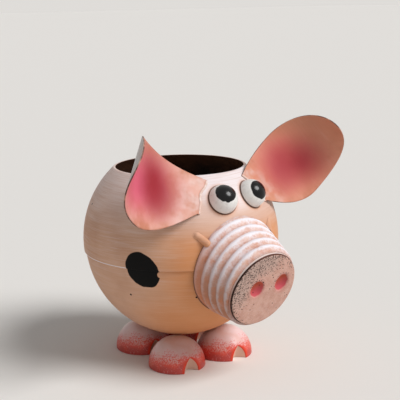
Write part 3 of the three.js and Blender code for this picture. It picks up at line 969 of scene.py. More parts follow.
@dataclass(frozen=True)
class EyePaint(Finish):
    """Satin white enamel with a gloss black pupil painted by hand, which ends in a small drip."""

    seat: Matrix
    radius: float
    height: float
    gaze: Vector
    drip: Vector
    pupil_angle: float
    drip_angle: float = 12.0
    pupil_edge: float = 0.03
    wobble_scale: float = 0.15
    wobble_reach: float = 0.2
    white: Colour = paint(232, 230, 226)
    grey: Colour = paint(216, 213, 209)
    brown: Colour = paint(70, 42, 32)
    black: Colour = paint(6, 7, 9)
    roughness: float = 0.36
    pupil_roughness: float = 0.2
    gloss: float = 0.32
    relief: float = 0.03
    dust_scale: float = 0.25
    dust_detail: float = 4.0
    dust: Fade = Fade(0.45, 0.75)
    painted_seat_shade: Fade = Fade(0.6, -0.2, 0.85)

    def dab(self, graph: Graph, outward: Socket, wobble: Socket, middle: Vector, angle: float) -> Socket:
        """Paints one round dab.

        Args:
            graph: The finish's graph.
            outward: The direction from the eye's middle.
            wobble: The unevenness of the dab's edge, in radians.
            middle: The direction of the dab's middle.
            angle: The dab's half angle in degrees.

        Returns:
            1 inside the dab and 0 outside.
        """
        away = graph.math("ARCCOSINE", graph.vector("DOT_PRODUCT", outward, middle))
        edge = math.radians(angle)
        return graph.fade(graph.total(away, wobble), Fade(edge + self.pupil_edge, edge - self.pupil_edge))

    def wire(self, graph: Graph) -> None:
        """Lays the enamel, a dark line of painted shade at its seat, and the pupil.

        Args:
            graph: The finish's graph.
        """
        point = graph.place(self.seat)
        shape = (MM / self.radius, MM / self.radius, MM / self.height)
        outward = graph.vector("NORMALIZE", graph.vector("MULTIPLY", point, shape))
        wobble = graph.sway(graph.noise(point, self.wobble_scale), self.wobble_reach)
        dabs = ((self.gaze, self.pupil_angle), (self.drip, self.drip_angle))
        pupil = graph.most(*(self.dab(graph, outward, wobble, middle, angle) for middle, angle in dabs))
        dust = graph.noise(point, self.dust_scale, self.dust_detail)
        colour = graph.coat(self.white, self.grey, graph.fade(dust, self.dust))
        # Painted shade: a brown line round the dome's base, where it meets the ball.
        colour = graph.coat(colour, self.brown, graph.fade(graph.split(point)[2], self.painted_seat_shade))
        colour = graph.coat(colour, self.black, pupil)
        roughness = graph.less(self.roughness, graph.product(pupil, self.roughness - self.pupil_roughness))
        graph.surface(colour, roughness, self.gloss, dust, self.relief)


@dataclass(frozen=True)
class RodPaint(Finish):
    """The ball's peach on a rod or a weld, worn pale in patches, with painted shade darkening it where it
    meets the ball.
    """

    centre: Vector
    ball_radius: float
    peach: Colour = paint(194, 138, 103)
    chalk: Colour = paint(212, 172, 146)
    brown: Colour = paint(134, 82, 54)
    painted_seat_shade: Fade = Fade(1.6, 0.48, 0.4)
    roughness: float = 0.55
    gloss: float = 0.3
    relief: float = 0.15
    wear_scale: float = 0.3
    wear_detail: float = 4.0
    wear: Fade = Fade(0.45, 0.65, 0.6)

    def wire(self, graph: Graph) -> None:
        """Lays the peach, the chalk and the painted shade at the seat.

        Args:
            graph: The finish's graph.
        """
        point = graph.place(Matrix.Translation(self.centre))
        wear = graph.noise(point, self.wear_scale, self.wear_detail)
        colour = graph.coat(self.peach, self.chalk, graph.fade(wear, self.wear))
        from_ball = graph.less(graph.length(point), self.ball_radius / MM)
        # Painted shade: brown where the rod meets the ball.
        colour = graph.coat(colour, self.brown, graph.fade(from_ball, self.painted_seat_shade))
        graph.surface(colour, self.roughness, self.gloss, wear, self.relief)


@dataclass(frozen=True)
class FootPaint(Finish):
    """Satin pinkish white, stippled red from the floor up; the UV map holds the depth at the cleft's lip."""

    seat: Matrix
    pale: Colour = paint(234, 212, 212)
    pink: Colour = paint(228, 192, 186)
    red: Colour = paint(220, 60, 30)
    dark_red: Colour = paint(186, 36, 16)
    cream: Colour = paint(226, 184, 164)
    roughness: float = 0.38
    gloss: float = 0.4
    relief: float = 0.05
    soft_scale: float = 0.07
    grain_scale: float = 0.75
    detail: float = 3.0
    pinks: Fade = Fade(0.4, 0.66)
    toe_lift: Fade = Fade(10.0, -18.0, 3.0)
    level_sway: float = 20.0
    mist: Fade = Fade(29.0, 3.0)
    mist_share: float = 0.3
    floor_dark: Fade = Fade(9.0, 1.0)
    speckle_sway: float = 1.5
    speckles: Fade = Fade(0.4, 0.95, 0.9)
    cleft: Fade = Fade(0.51, 0.56)
    lip_outer: Fade = Fade(0.2, 0.4, 0.95)
    lip_inner: Fade = Fade(0.58, 0.53)

    def wire(self, graph: Graph) -> None:
        """Lays the pinkish white, the red mist and speckles, and then the cream cleft and its red lip.

        Args:
            graph: The finish's graph.
        """
        point = graph.place(self.seat)
        _, ahead, height = graph.split(point)
        soft = graph.noise(point, self.soft_scale, self.detail)
        grain = graph.noise(point, self.grain_scale, self.detail)
        level = graph.total(height, graph.sway(soft, self.level_sway))
        level = graph.less(level, graph.fade(ahead, self.toe_lift))
        mist = graph.fade(level, self.mist)
        speckles = graph.fade(graph.total(mist, graph.sway(grain, self.speckle_sway)), self.speckles)
        red = graph.mix(graph.fade(level, self.floor_dark), self.red, self.dark_red)
        colour = graph.coat(self.pale, self.pink, graph.fade(soft, self.pinks))
        colour = graph.coat(colour, self.red, mist, self.mist_share)
        colour = graph.coat(colour, red, speckles)
        depth = graph.split(graph.node("ShaderNodeUVMap", {}, uv_map="cleft").outputs[0])[0]
        colour = graph.coat(colour, self.cream, graph.fade(depth, self.cleft))
        lip = graph.product(graph.fade(depth, self.lip_outer), graph.fade(depth, self.lip_inner))
        colour = graph.coat(colour, self.red, lip)
        graph.surface(colour, self.roughness, self.gloss, grain, self.relief)


@dataclass(frozen=True)
class FloorPaint(Finish):
    """Matt pale paint on the studio's floor."""

    pale: Colour
    roughness: float = 0.9
    gloss: float = 0.3
    relief: float = 0.01
    grain_scale: float = 0.3

    def wire(self, graph: Graph) -> None:
        """Lays the one coat."""
        grain = graph.noise(graph.place(Matrix()), self.grain_scale)
        graph.surface(self.pale, self.roughness, self.gloss, grain, self.relief)


class Profile:
    """A chain of vertices in the XZ plane, drawn from point to point and then turned about Z."""

    def __init__(self, radius: float, height: float) -> None:
        """Starts the chain.

        Args:
            radius: The first point's distance from the axis.
            height: The first point's height.
        """
        self.bm = bmesh.new()
        self.first = self.bm.verts.new((radius, 0.0, height))
        self.last = self.first

    def line(self, radius: float, height: float) -> "Profile":
        """Draws a straight step.

        Args:
            radius: The next point's distance from the axis.
            height: The next point's height.

        Returns:
            The profile itself.
        """
        self.last = bmesh.ops.extrude_vert_indiv(self.bm, verts=[self.last])["verts"][0]
        self.last.co = (radius, 0.0, height)
        return self

    def arc(self, radius: float, height: float, angle: float, steps: int) -> "Profile":
        """Draws an arc about a point.

        Args:
            radius: The arc centre's distance from the axis.
            height: The arc centre's height.
            angle: Degrees turned; positive falls from the outside, negative rises.
            steps: The number of straight steps.

        Returns:
            The profile itself.
        """
        made = bmesh.ops.spin(
            self.bm, geom=[self.last], cent=(radius, 0.0, height), axis=(0, 1, 0),
            angle=math.radians(angle), steps=steps,
        )
        self.last = made["geom_last"][0]
        return self

    def turned(self, steps: int, closed: bool = True) -> bmesh.types.BMesh:
        """Turns the chain once round the axis.

        Args:
            steps: The number of sides.
            closed: Whether the chain's ends are joined first.

        Returns:
            The turned mesh, merged and facing outward.
        """
        if closed:
            self.bm.edges.new((self.last, self.first))
        bmesh.ops.spin(
            self.bm, geom=self.bm.verts[:] + self.bm.edges[:], cent=(0, 0, 0), axis=(0, 0, 1),
            angle=2 * math.pi, steps=steps, use_merge=True,
        )
        tidy(self.bm)
        return self.bm


def tidy(bm: bmesh.types.BMesh) -> None:
    """Merges doubles, drops empty faces and turns a closed mesh outward.

    Args:
        bm: The mesh.
    """
    bmesh.ops.remove_doubles(bm, verts=bm.verts[:], dist=MERGE_DISTANCE)
    bmesh.ops.dissolve_degenerate(bm, edges=bm.edges[:], dist=LENGTH_TOLERANCE)
    bmesh.ops.recalc_face_normals(bm, faces=bm.faces[:])


def soften(bm: bmesh.types.BMesh, offset: float, steps: int, sharper_than: float) -> None:
    """Rounds sharp edges.

    Args:
        bm: The mesh.
        offset: How far the rounding reaches along each face.
        steps: The number of segments.
        sharper_than: The angle between two faces, in degrees, above which their edge is rounded.
    """
    sharp = [edge for edge in bm.edges if edge.calc_face_angle(0.0) > math.radians(sharper_than)]
    bmesh.ops.bevel(
        bm, geom=sharp, offset=offset, segments=steps, profile=0.5, affect="EDGES", material=-1,
        clamp_overlap=True,
    )


def sweep(path: Sequence[Vector], radii: Sequence[float], sides: int) -> bmesh.types.BMesh:
    """Draws a round rod along a path and closes its ends.

    Args:
        path: The rod's middle line.
        radii: The rod's radius at each point.
        sides: The number of sides.

    Returns:
        The rod.
    """
    tangents = [(path[1] - path[0]).normalized()]
    tangents += [(after - before).normalized() for before, after in zip(path, path[2:])]
    tangents.append((path[-1] - path[-2]).normalized())
    turn = UP.rotation_difference(tangents[0])
    frames: list[Matrix] = []
    for point, radius, (before, tangent) in zip(path, radii, pairwise([tangents[0], *tangents])):
        turn = before.rotation_difference(tangent) @ turn
        frames.append(Matrix.LocRotScale(point, turn, Vector((radius,) * 3)))
    bm = bmesh.new()
    ring = bmesh.ops.create_circle(bm, cap_ends=True, radius=1.0, segments=sides, matrix=frames[0])["verts"]
    edges = list({edge for vert in ring for edge in vert.link_edges})
    for before, after in pairwise(frames):
        made = bmesh.ops.extrude_edge_only(bm, edges=edges)["geom"]
        ring = [item for item in made if isinstance(item, bmesh.types.BMVert)]
        edges = [item for item in made if isinstance(item, bmesh.types.BMEdge)]
        bmesh.ops.transform(bm, matrix=after @ before.inverted(), verts=ring)
    bmesh.ops.edgeloop_fill(bm, edges=edges)
    return bm


def relaxed(path: Sequence[Vector], rounds: int) -> list[Vector]:
    """Eases a path's bends and keeps its ends.

    Args:
        path: The points of the path.
        rounds: How many times each point is drawn towards its neighbours.

    Returns:
        The eased points.
    """
    eased = list(path)
    for _ in range(rounds):
        inner = [(before + here * 2 + after) / 4 for before, here, after in zip(eased, eased[1:], eased[2:])]
        eased = [eased[0], *inner, eased[-1]]
    return eased


def rounded_radii(path: Sequence[Vector], radius: float, domed_start: bool = True) -> list[float]:
    """Gives a rod's radius along its path, with a domed end.

    Args:
        path: The rod's middle line.
        radius: The rod's full radius.
        domed_start: Whether its start is domed as well.

    Returns:
        The radius at each point.
    """
    steps = [(after - before).length for before, after in pairwise(path)]
    walked = list(accumulate(steps, initial=0.0))
    radii = []
    for distance in walked:
        near = min(distance if domed_start else radius, walked[-1] - distance, radius)
        dome = math.sqrt(max(0.0, 1 - (1 - near / radius) ** 2))
        radii.append(radius * max(dome, ROD_TIP_SHARE))
    return radii


def publish(
    bm: bmesh.types.BMesh, name: str, node: str | None, materials: Sequence[bpy.types.Material],
    sharp_angle: float = 38.0,
) -> bpy.types.Object:
    """Makes a scene piece of a mesh and seats it in the frame.

    Args:
        bm: The mesh, in the part's frame; it is freed.
        name: The piece's name.
        node: The CAD node that it replaces, if any.
        materials: The piece's materials, in the order of its face indices.
        sharp_angle: Degrees above which an edge shades sharp.

    Returns:
        The piece.
    """
    mesh = bpy.data.meshes.new(name)
    for face in bm.faces:
        face.smooth = True
    bm.to_mesh(mesh)
    bm.free()
    mesh.set_sharp_from_angle(angle=math.radians(sharp_angle))
    for material in materials:
        mesh.materials.append(material)
    piece = bpy.data.objects.new(name, mesh)
    bpy.context.scene.collection.objects.link(piece)
    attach(piece, "root")
    if node:
        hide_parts(node)
    LOG.info("%s: %d faces in place of %s", name, len(mesh.polygons), node or "nothing")
    return piece


@dataclass
class Ball:
    """The ball body: an upper shell with the planting opening, lapped over a lower bowl."""

    radius: float = 100 * MM
    wall: float = 1.5 * MM
    opening_radius: float = 67 * MM
    seam_drop: float = 10.4 * MM
    seam_lap: float = 6 * MM
    bowl_extra_depth: float = 3 * MM
    drain_radius: float = 6 * MM
    sides: int = 192
    top_steps: int = 60
    bowl_steps: int = 72
    edge_round: float = 0.45 * MM
    edge_steps: int = 3
    edge_angle: float = 30.0
    primed_depth: float = 1.05 * MM

    @cached_property
    def opening_height(self) -> float:
        """The height of the opening above the ball's centre."""
        return math.sqrt(self.radius ** 2 - self.opening_radius ** 2)

    @cached_property
    def centre(self) -> Vector:
        """The ball's centre in the part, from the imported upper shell."""
        low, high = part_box("body_upper")
        return Vector(((low.x + high.x) / 2, (low.y + high.y) / 2, high.z - self.opening_height))

    def shell(
        self, radius: float, bottom: float, top: float, steps: int, stretch: float = 1.0,
    ) -> bmesh.types.BMesh:
        """Turns a shell between two heights.

        Args:
            radius: The outer radius.
            bottom: The height of the lower edge from the centre.
            top: The height of the upper edge.
            steps: The number of steps along each wall.
            stretch: How much deeper the shell is than round.

        Returns:
            The closed shell, with its inner faces on the second material.
        """
        inner = radius - self.wall
        low, high = math.asin(bottom / radius), math.asin(top / radius)
        inner_high = math.asin(top / inner)
        profile = Profile(radius * math.cos(low), bottom)
        profile.arc(0.0, 0.0, math.degrees(low - high), steps)
        profile.line(inner * math.cos(inner_high), top)
        profile.arc(0.0, 0.0, math.degrees(inner_high - low), steps)
        bm = profile.turned(self.sides)
        soften(bm, self.edge_round, self.edge_steps, self.edge_angle)
        for face in bm.faces:
            face.material_index = int(face.calc_center_median().length < radius - self.primed_depth)
        bmesh.ops.scale(bm, verts=bm.verts[:], vec=(1.0, 1.0, stretch))
        bmesh.ops.translate(bm, verts=bm.verts[:], vec=self.centre)
        return bm

    def build(self, skin: bpy.types.Material, hollow: bpy.types.Material) -> None:
        """Makes both shells.

        Args:
            skin: The paint outside.
            hollow: The paint inside.
        """
        upper = self.shell(self.radius, -self.seam_drop, self.opening_height, self.top_steps)
        publish(upper, "ball_top", "body_upper", [skin, hollow])
        bowl_radius = self.radius - self.wall - SEAT_GAP
        drain = -math.sqrt(bowl_radius ** 2 - self.drain_radius ** 2)
        stretch = (bowl_radius + self.bowl_extra_depth) / bowl_radius
        lower = self.shell(bowl_radius, drain, self.seam_lap - self.seam_drop, self.bowl_steps, stretch)
        publish(lower, "ball_bowl", "body_lower", [skin, hollow])


@dataclass
class Snout:
    """The snout: a ribbed cone welded onto the ball, closed by a pressed disc with two nostrils."""

    ball: Ball
    reach: float = 130 * MM
    drop: float = 28.5 * MM
    pitch: float = 18.3
    end_radius: float = 38.2 * MM
    taper: float = 11.8
    wall: float = 1.5 * MM
    rib_count: int = 7
    rib_pitch: float = 9.3 * MM
    rib_height: float = 1.8 * MM
    rib_start: float = -6.7 * MM
    rib_lean: float = 5.1
    rib_steps: int = 16
    tube_end: float = 80.6 * MM
    disc_depth: float = 4 * MM
    disc_edge: float = 2.5 * MM
    disc_crown: float = 1 * MM
    disc_wall: float = 1.5 * MM
    disc_rings: int = 48
    disc_outer_steps: int = 8
    disc_inner_steps: int = 6
    disc_sharp_angle: float = 60.0
    nostrils: tuple[Nostril, ...] = (Nostril(-9.9, 3.6, 7.6, 8.3), Nostril(20.2, 4.6, 7.8, 8.7))
    sides: int = 160

    @cached_property
    def frame(self) -> Matrix:
        """The frame at the middle of the snout's end, with Z pointing out."""
        place = self.ball.centre + Vector((0.0, -self.reach, -self.drop))
        return Matrix.Translation(place) @ Matrix.Rotation(math.radians(90 + self.pitch), 4, "X")

    @property
    def tube_start(self) -> float:
        """The distance of the tube's end behind the disc's face."""
        return self.disc_depth + SEAT_GAP

    @property
    def rib_slope(self) -> float:
        """How far the ribs lean back for each step up."""
        return math.tan(math.radians(self.rib_lean))

    def radius(self, distance: float) -> float:
        """Gives the plain cone's radius at a distance behind the disc's face."""
        return self.end_radius + distance * math.tan(math.radians(self.taper))

    def ribbed_radius(self, distance: float, angle: float) -> float:
        """Gives the outer radius with the ribs.

        Args:
            distance: The distance behind the disc's face.
            angle: The angle about the snout's axis, from the pig's left towards up.

        Returns:
            The radius.
        """
        plain = self.radius(distance)
        phase = (distance - self.rib_slope * plain * math.sin(angle) - self.rib_start) / self.rib_pitch
        return plain + (phase <= self.rib_count) * self.rib_height * math.sin(math.pi * phase) ** 2

    def inner_radius(self, distance: float) -> float:
        """Gives the inner radius at a distance behind the disc's face."""
        return self.radius(distance) - self.wall

    def cone_radius(self, distance: float) -> float:
        """Gives the radius that clears the ribs at a distance behind the disc's face."""
        return self.radius(distance) + self.rib_height + SEAT_GAP

    def around(self, angle: float, radius: float, distance: float) -> Vector:
        """Goes round the snout's axis.

        Args:
            angle: The angle about the axis, from the pig's left towards up.
            radius: The distance from the axis.
            distance: The distance behind the disc's face.

        Returns:
            The point from the ball's centre.
        """
        local = Vector((radius * math.cos(angle), radius * math.sin(angle), -distance))
        return self.frame @ local - self.ball.centre

    def clock_angle(self, side: Side, clock: float) -> float:
        """Gives the angle about the axis, in radians, of a clock angle up from one side, in degrees."""
        return math.radians(clock if side is Side.LEFT else 180 - clock)

    def seat(self, angle: float, radius_at: Callable[[float], float], ball_radius: float) -> float:
        """Finds where a line along the cone meets the ball.

        Args:
            angle: The line's angle about the snout's axis, from the pig's left towards up.
            radius_at: The cone's radius at a distance behind the disc's face.
            ball_radius: The ball's radius there.

        Returns:
            The distance behind the disc's face.
        """
        def outside(distance: float) -> bool:
            """Says whether the line is still outside the ball."""
            return self.around(angle, radius_at(distance), distance).length > ball_radius

        return halved(self.tube_start, self.reach, LENGTH_TOLERANCE, outside)

    def seat_direction(self, angle: float, radius_at: Callable[[float], float]) -> Vector:
        """Gives the direction from the ball's centre to where a line along the cone meets the ball."""
        distance = self.seat(angle, radius_at, self.ball.radius)
        return self.around(angle, radius_at(distance), distance).normalized()

    def beside(self, side: Side, clock: float, distance: float) -> Vector:
        """Goes from the snout's root along the ball, away from the snout.

        Args:
            side: The pig's side.
            clock: Degrees up from that side, about the snout's axis.
            distance: How far to go along the ball.

        Returns:
            The direction from the ball's centre.
        """
        angle = self.clock_angle(side, clock)
        root = self.seat_direction(angle, self.cone_radius)
        hub = self.seat_direction(angle, lambda _: 0.0)
        return Quaternion(hub.cross(root).normalized(), distance / self.ball.radius) @ root

    def build_tube(self, skin: bpy.types.Material) -> None:
        """Turns the ribbed tube and ends every line of it on the ball.

        Args:
            skin: The tube's paint.
        """
        length = self.tube_end - self.tube_start
        count = round(length / self.rib_pitch * self.rib_steps)
        distances = [self.tube_start + length * step / count for step in range(count + 1)]
        profile = Profile(self.radius(distances[0]), -distances[0])
        for distance in distances[1:]:
            profile.line(self.radius(distance), -distance)
        for distance in reversed(distances[::self.rib_steps]):
            profile.line(self.inner_radius(distance), -distance)
        bm = profile.turned(self.sides)
        seats: dict[tuple[int, bool], float] = {}
        for vert in bm.verts:
            angle = math.atan2(vert.co.y, vert.co.x)
            outer = math.hypot(vert.co.x, vert.co.y) > self.radius(-vert.co.z) - self.wall / 2
            radius_at = partial(self.ribbed_radius, angle=angle) if outer else self.inner_radius
            key = (round(angle * 1000), outer)
            if key not in seats:
                seats[key] = self.seat(angle, radius_at, self.ball.radius + SEAT_GAP)
            distance = min(-vert.co.z, seats[key])
            vert.co = self.around(angle, radius_at(distance), distance)
        tidy(bm)
        bmesh.ops.translate(bm, verts=bm.verts[:], vec=self.ball.centre)
        publish(bm, "snout_ribbed", "snout_tube", [skin])

    def build_disc(self, face_paint: bpy.types.Material) -> None:
        """Turns the disc and presses the nostrils into it.

        Args:
            face_paint: The disc's paint.
        """
        flat = self.end_radius - self.disc_edge
        shares = [ring / self.disc_rings for ring in range(self.disc_rings + 1)]
        crown = [(flat * share, self.disc_crown * (1 - share ** 2)) for share in shares]
        profile = Profile(*crown[0])
        for radius, height in crown[1:]:
            profile.line(radius, height)
        profile.arc(flat, -self.disc_edge, 90, self.disc_outer_steps)
        profile.line(self.end_radius, -self.disc_depth)
        profile.line(self.end_radius - self.disc_wall, -self.disc_depth)
        profile.line(self.end_radius - self.disc_wall, -self.disc_edge)
        profile.arc(flat, -self.disc_edge, -90, self.disc_inner_steps)
        for radius, height in reversed(crown[:-1]):
            profile.line(radius, height - self.disc_wall)
        bm = profile.turned(self.sides, closed=False)
        for vert in bm.verts:
            if math.hypot(vert.co.x, vert.co.y) < flat:
                vert.co.z -= MM * max(n.dip(vert.co.x / MM, vert.co.y / MM) for n in self.nostrils)
        bmesh.ops.transform(bm, matrix=self.frame, verts=bm.verts[:])
        publish(bm, "snout_face", "snout_disc", [face_paint], self.disc_sharp_angle)


@dataclass
class Eye:
    """A pressed dome welded onto the ball, with a painted pupil."""

    snout: Snout
    side: Side
    gaze_left: float
    gaze_up: float
    pupil_angle: float
    drip_overlap: float = 7.0
    turn: float = 5.1
    radius: float = 14.3 * MM
    height: float = 14.5 * MM
    wall: float = 1.2 * MM
    clock: float = 73.3
    snout_gap: float = 4.2 * MM
    edge_round: float = 0.3 * MM
    edge_steps: int = 2
    edge_angle: float = 50.0
    outer_steps: int = 32
    inner_steps: int = 16
    sides: int = 96

    def plain_outward(self, side: Side) -> Vector:
        """Gives an eye's direction from the ball's centre before the eyes are turned."""
        return self.snout.beside(side, self.clock, self.radius + self.snout_gap)

    @cached_property
    def outward(self) -> Vector:
        """The eye's direction from the ball's centre."""
        return Matrix.Rotation(math.radians(self.turn), 3, "Z") @ self.plain_outward(self.side)

    @cached_property
    def frame(self) -> Matrix:
        """The eye's frame on the ball, with Z pointing out."""
        ball = self.snout.ball
        return Matrix.Translation(ball.centre + self.outward * ball.radius) @ outward_turn(self.outward)

    def look(self, lower: float = 0.0) -> Vector:
        """Gives the pupil's direction.

        Args:
            lower: Degrees by which the direction is lowered.

        Returns:
            The direction in the eye's frame.
        """
        azimuth = math.degrees(math.atan2(self.outward.x, -self.outward.y)) + self.gaze_left
        elevation = math.degrees(math.asin(self.outward.z)) + self.gaze_up - lower
        return self.frame.to_3x3().inverted() @ ball_direction(azimuth, elevation)

    def covers(self, point: Vector) -> bool:
        """Says whether the dome or its seat gap holds a point.

        Args:
            point: The point in the part.

        Returns:
            True inside.
        """
        local = self.frame.inverted() @ point
        across = math.hypot(local.x, local.y) / (self.radius + SEAT_GAP)
        return across ** 2 + (max(0.0, local.z) / (self.height + SEAT_GAP)) ** 2 < 1

    def seat_height(self, radius: float) -> float:
        """Gives the height of the ball under the dome's edge at a radius."""
        ball_radius = self.snout.ball.radius
        return math.sqrt((ball_radius + SEAT_GAP) ** 2 - radius ** 2) - ball_radius

    def build(self) -> None:
        """Turns the dome and paints it."""
        inner = self.radius - self.wall
        profile = Profile(inner, self.seat_height(inner))
        profile.line(self.radius, self.seat_height(self.radius)).line(self.radius, 0.0)
        profile.arc(0.0, 0.0, -90, self.outer_steps)
        profile.line(0.0, inner)
        profile.arc(0.0, 0.0, 90, self.inner_steps)
        bm = profile.turned(self.sides)
        stretch = self.height / self.radius
        for vert in bm.verts:
            if vert.co.z > 0:
                vert.co.z *= stretch
        soften(bm, self.edge_round, self.edge_steps, self.edge_angle)
        bmesh.ops.transform(bm, matrix=self.frame, verts=bm.verts[:])
        side = self.side.name.lower()
        drip = self.look(self.pupil_angle - self.drip_overlap)
        enamel = EyePaint(self.frame, self.radius, self.height, self.look(), drip, self.pupil_angle)
        coat = enamel.material(f"eye_dome_{side}_enamel")
        publish(bm, f"eye_dome_{side}", f"eye_{side}", [coat])


@dataclass
class Ear:
    """A leaf-shaped sheet rolled about a leaning axis and welded onto the ball beside the eye."""

    eye: Eye
    turn: float = 2.5
    length: float = 123.5 * MM
    width: float = 77.5 * MM
    base_width: float = 36.5 * MM
    widest: float = 60 * MM
    hang: float = 20.3 * MM
    wall: float = 1.2 * MM
    eye_gap: float = 1.8 * MM
    eye_rise: float = 4.9 * MM
    lean_in: float = 37.6
    lean_back: float = 23.5
    heading: float = 16.5
    roll: float = 105.0
    roll_growth: float = 1.4
    roll_steps: int = 40
    tab: float = 8 * MM
    tab_heading: float = -25.0
    trim_from: float = 20 * MM
    trim_step: float = 0.2 * MM
    sheet: float = 125 * MM
    rows: int = 72
    columns: int = 44
    weld_radius: float = 1.3 * MM
    weld_steps: int = 48
    weld_sides: int = 12
    weld_easing: int = 3

    @property
    def side(self) -> Side:
        """The pig's side that carries the ear."""
        return self.eye.side

    @cached_property
    def axes(self) -> tuple[Vector, Vector, Vector]:
        """The left ear's directions.

        Returns:
            The directions across its roll, behind it, and along the roll's axis.
        """
        lean = (-math.tan(math.radians(self.lean_in)), math.tan(math.radians(self.lean_back)), 1.0)
        axis = Vector(lean).normalized()
        across = (Vector((1.0, 0.0, 0.0)) - axis * axis.x).normalized()
        return across, axis.cross(across), axis

    @cached_property
    def base(self) -> Vector:
        """The middle of the left ear's base, before it is turned.

        Returns:
            The place from the ball's centre.
        """
        radius = self.eye.snout.ball.radius
        left_eye = self.eye.plain_outward(Side.LEFT)
        elevation = math.asin(left_eye.z) + self.eye_rise / radius
        aside = (self.eye.radius + self.eye_gap) / (radius * math.cos(elevation))
        azimuth = math.atan2(left_eye.x, -left_eye.y) + aside
        return ball_direction(math.degrees(azimuth), math.degrees(elevation)) * radius

    def heading_at(self, distance: float) -> float:
        """Gives the rolled sheet's heading.

        Args:
            distance: The distance from the base along the sheet.

        Returns:
            The heading in radians.
        """
        if distance < 0:
            return math.radians(self.tab_heading)
        return math.radians(self.heading - self.roll * (distance / self.length) ** self.roll_growth)

    def section(self, distance: float) -> Pair:
        """Follows the roll.

        Args:
            distance: The distance from the base along the sheet.

        Returns:
            The place across the roll and behind it.
        """
        step = distance / self.roll_steps
        headings = [self.heading_at(step * (index + 0.5)) for index in range(self.roll_steps)]
        return step * sum(map(math.cos, headings)), step * sum(map(math.sin, headings))

    def up_at(self, distance: float, share: float) -> float:
        """Gives the place up the sheet.

        Args:
            distance: The distance from the base along the sheet.
            share: From -1 at the lower edge to 1 at the upper.

        Returns:
            The place along the roll's axis.
        """
        swell = math.sin(math.pi / 2 * min(max(distance / self.widest, 0.0), 1.0))
        beyond = min(max((distance - self.widest) / (self.length - self.widest), 0.0), 1.0)
        half = (self.base_width + (self.width - self.base_width) * swell) / 2
        return -self.hang * swell + share * half * math.sqrt(1 - beyond ** 2)

    def point(self, distance: float, share: float) -> Vector:
        """Gives a point of the sheet in the part.

        Args:
            distance: The distance from the base along the sheet.
            share: From -1 at the lower edge to 1 at the upper.

        Returns:
            The point.
        """
        across, behind, axis = self.axes
        over, back = self.section(distance)
        place = self.base + across * over + behind * back + axis * self.up_at(distance, share)
        place.x *= self.side.value
        return self.eye.snout.ball.centre + Matrix.Rotation(math.radians(self.turn), 3, "Z") @ place

    def start_at(self, share: float) -> float:
        """Gives the distance at which the sheet leaves the ball and the eye.

        Args:
            share: From -1 at the lower edge to 1 at the upper.

        Returns:
            The distance along the sheet, which is negative on the tab.
        """
        ball = self.eye.snout.ball
        distance = self.trim_from
        while distance > -self.tab:
            place = self.point(distance - self.trim_step, share)
            buried = (place - ball.centre).length < ball.radius + SEAT_GAP
            if buried or self.eye.covers(place):
                break
            distance -= self.trim_step
        return distance

    def build(self, materials: Sequence[bpy.types.Material]) -> None:
        """Rolls the sheet and keeps its flat place in a UV map.

        Args:
            materials: The paint of the face, the back and the edge.
        """
        bm = bmesh.new()
        layer = bm.loops.layers.uv.new("sheet")
        bmesh.ops.create_grid(bm, x_segments=self.rows, y_segments=self.columns, size=0.5)
        starts: dict[int, float] = {}
        flat: dict[bmesh.types.BMVert, Pair] = {}
        for vert in bm.verts:
            share = 2 * vert.co.y
            key = round(share * 1000)
            if key not in starts:
                starts[key] = self.start_at(share)
            start = starts[key]
            distance = start + (self.length - start) * math.sin(math.pi / 2 * (vert.co.x + 0.5))
            flat[vert] = (distance, self.up_at(distance, share))
            vert.co = self.point(distance, share)
        for face in bm.faces:
            for loop in face.loops:
                along, up = flat[loop.vert]
                loop[layer].uv = (along / self.sheet, up / self.sheet + 0.5)
        bmesh.ops.remove_doubles(bm, verts=bm.verts[:], dist=MERGE_DISTANCE)
        bm.normal_update()
        behind = self.axes[1].copy()
        behind.x *= self.side.value
        if sum((face.normal for face in bm.faces), Vector()).dot(behind) > 0:
            bmesh.ops.reverse_faces(bm, faces=bm.faces[:])
        side = self.side.name.lower()
        piece = publish(bm, f"ear_leaf_{side}", f"ear_{side}", materials)
        thick = piece.modifiers.new("sheet_wall", "SOLIDIFY")
        thick.thickness = self.wall
        thick.offset = 0.0
        thick.material_offset = 1
        thick.material_offset_rim = 2

    def build_weld(self, bead_paint: bpy.types.Material) -> None:
        """Lays the weld along the ear's base.

        Args:
            bead_paint: The weld's paint.
        """
        shares = [2 * step / self.weld_steps - 1 for step in range(self.weld_steps + 1)]
        path = relaxed([self.point(self.start_at(share), share) for share in shares], self.weld_easing)
        bm = sweep(path, rounded_radii(path, self.weld_radius), self.weld_sides)
        ball = self.eye.snout.ball
        for vert in bm.verts:
            away = vert.co - ball.centre
            vert.co = ball.centre + away * max(1.0, (ball.radius + SEAT_GAP) / away.length)
        tidy(bm)
        publish(bm, f"ear_weld_{self.side.name.lower()}", None, [bead_paint])


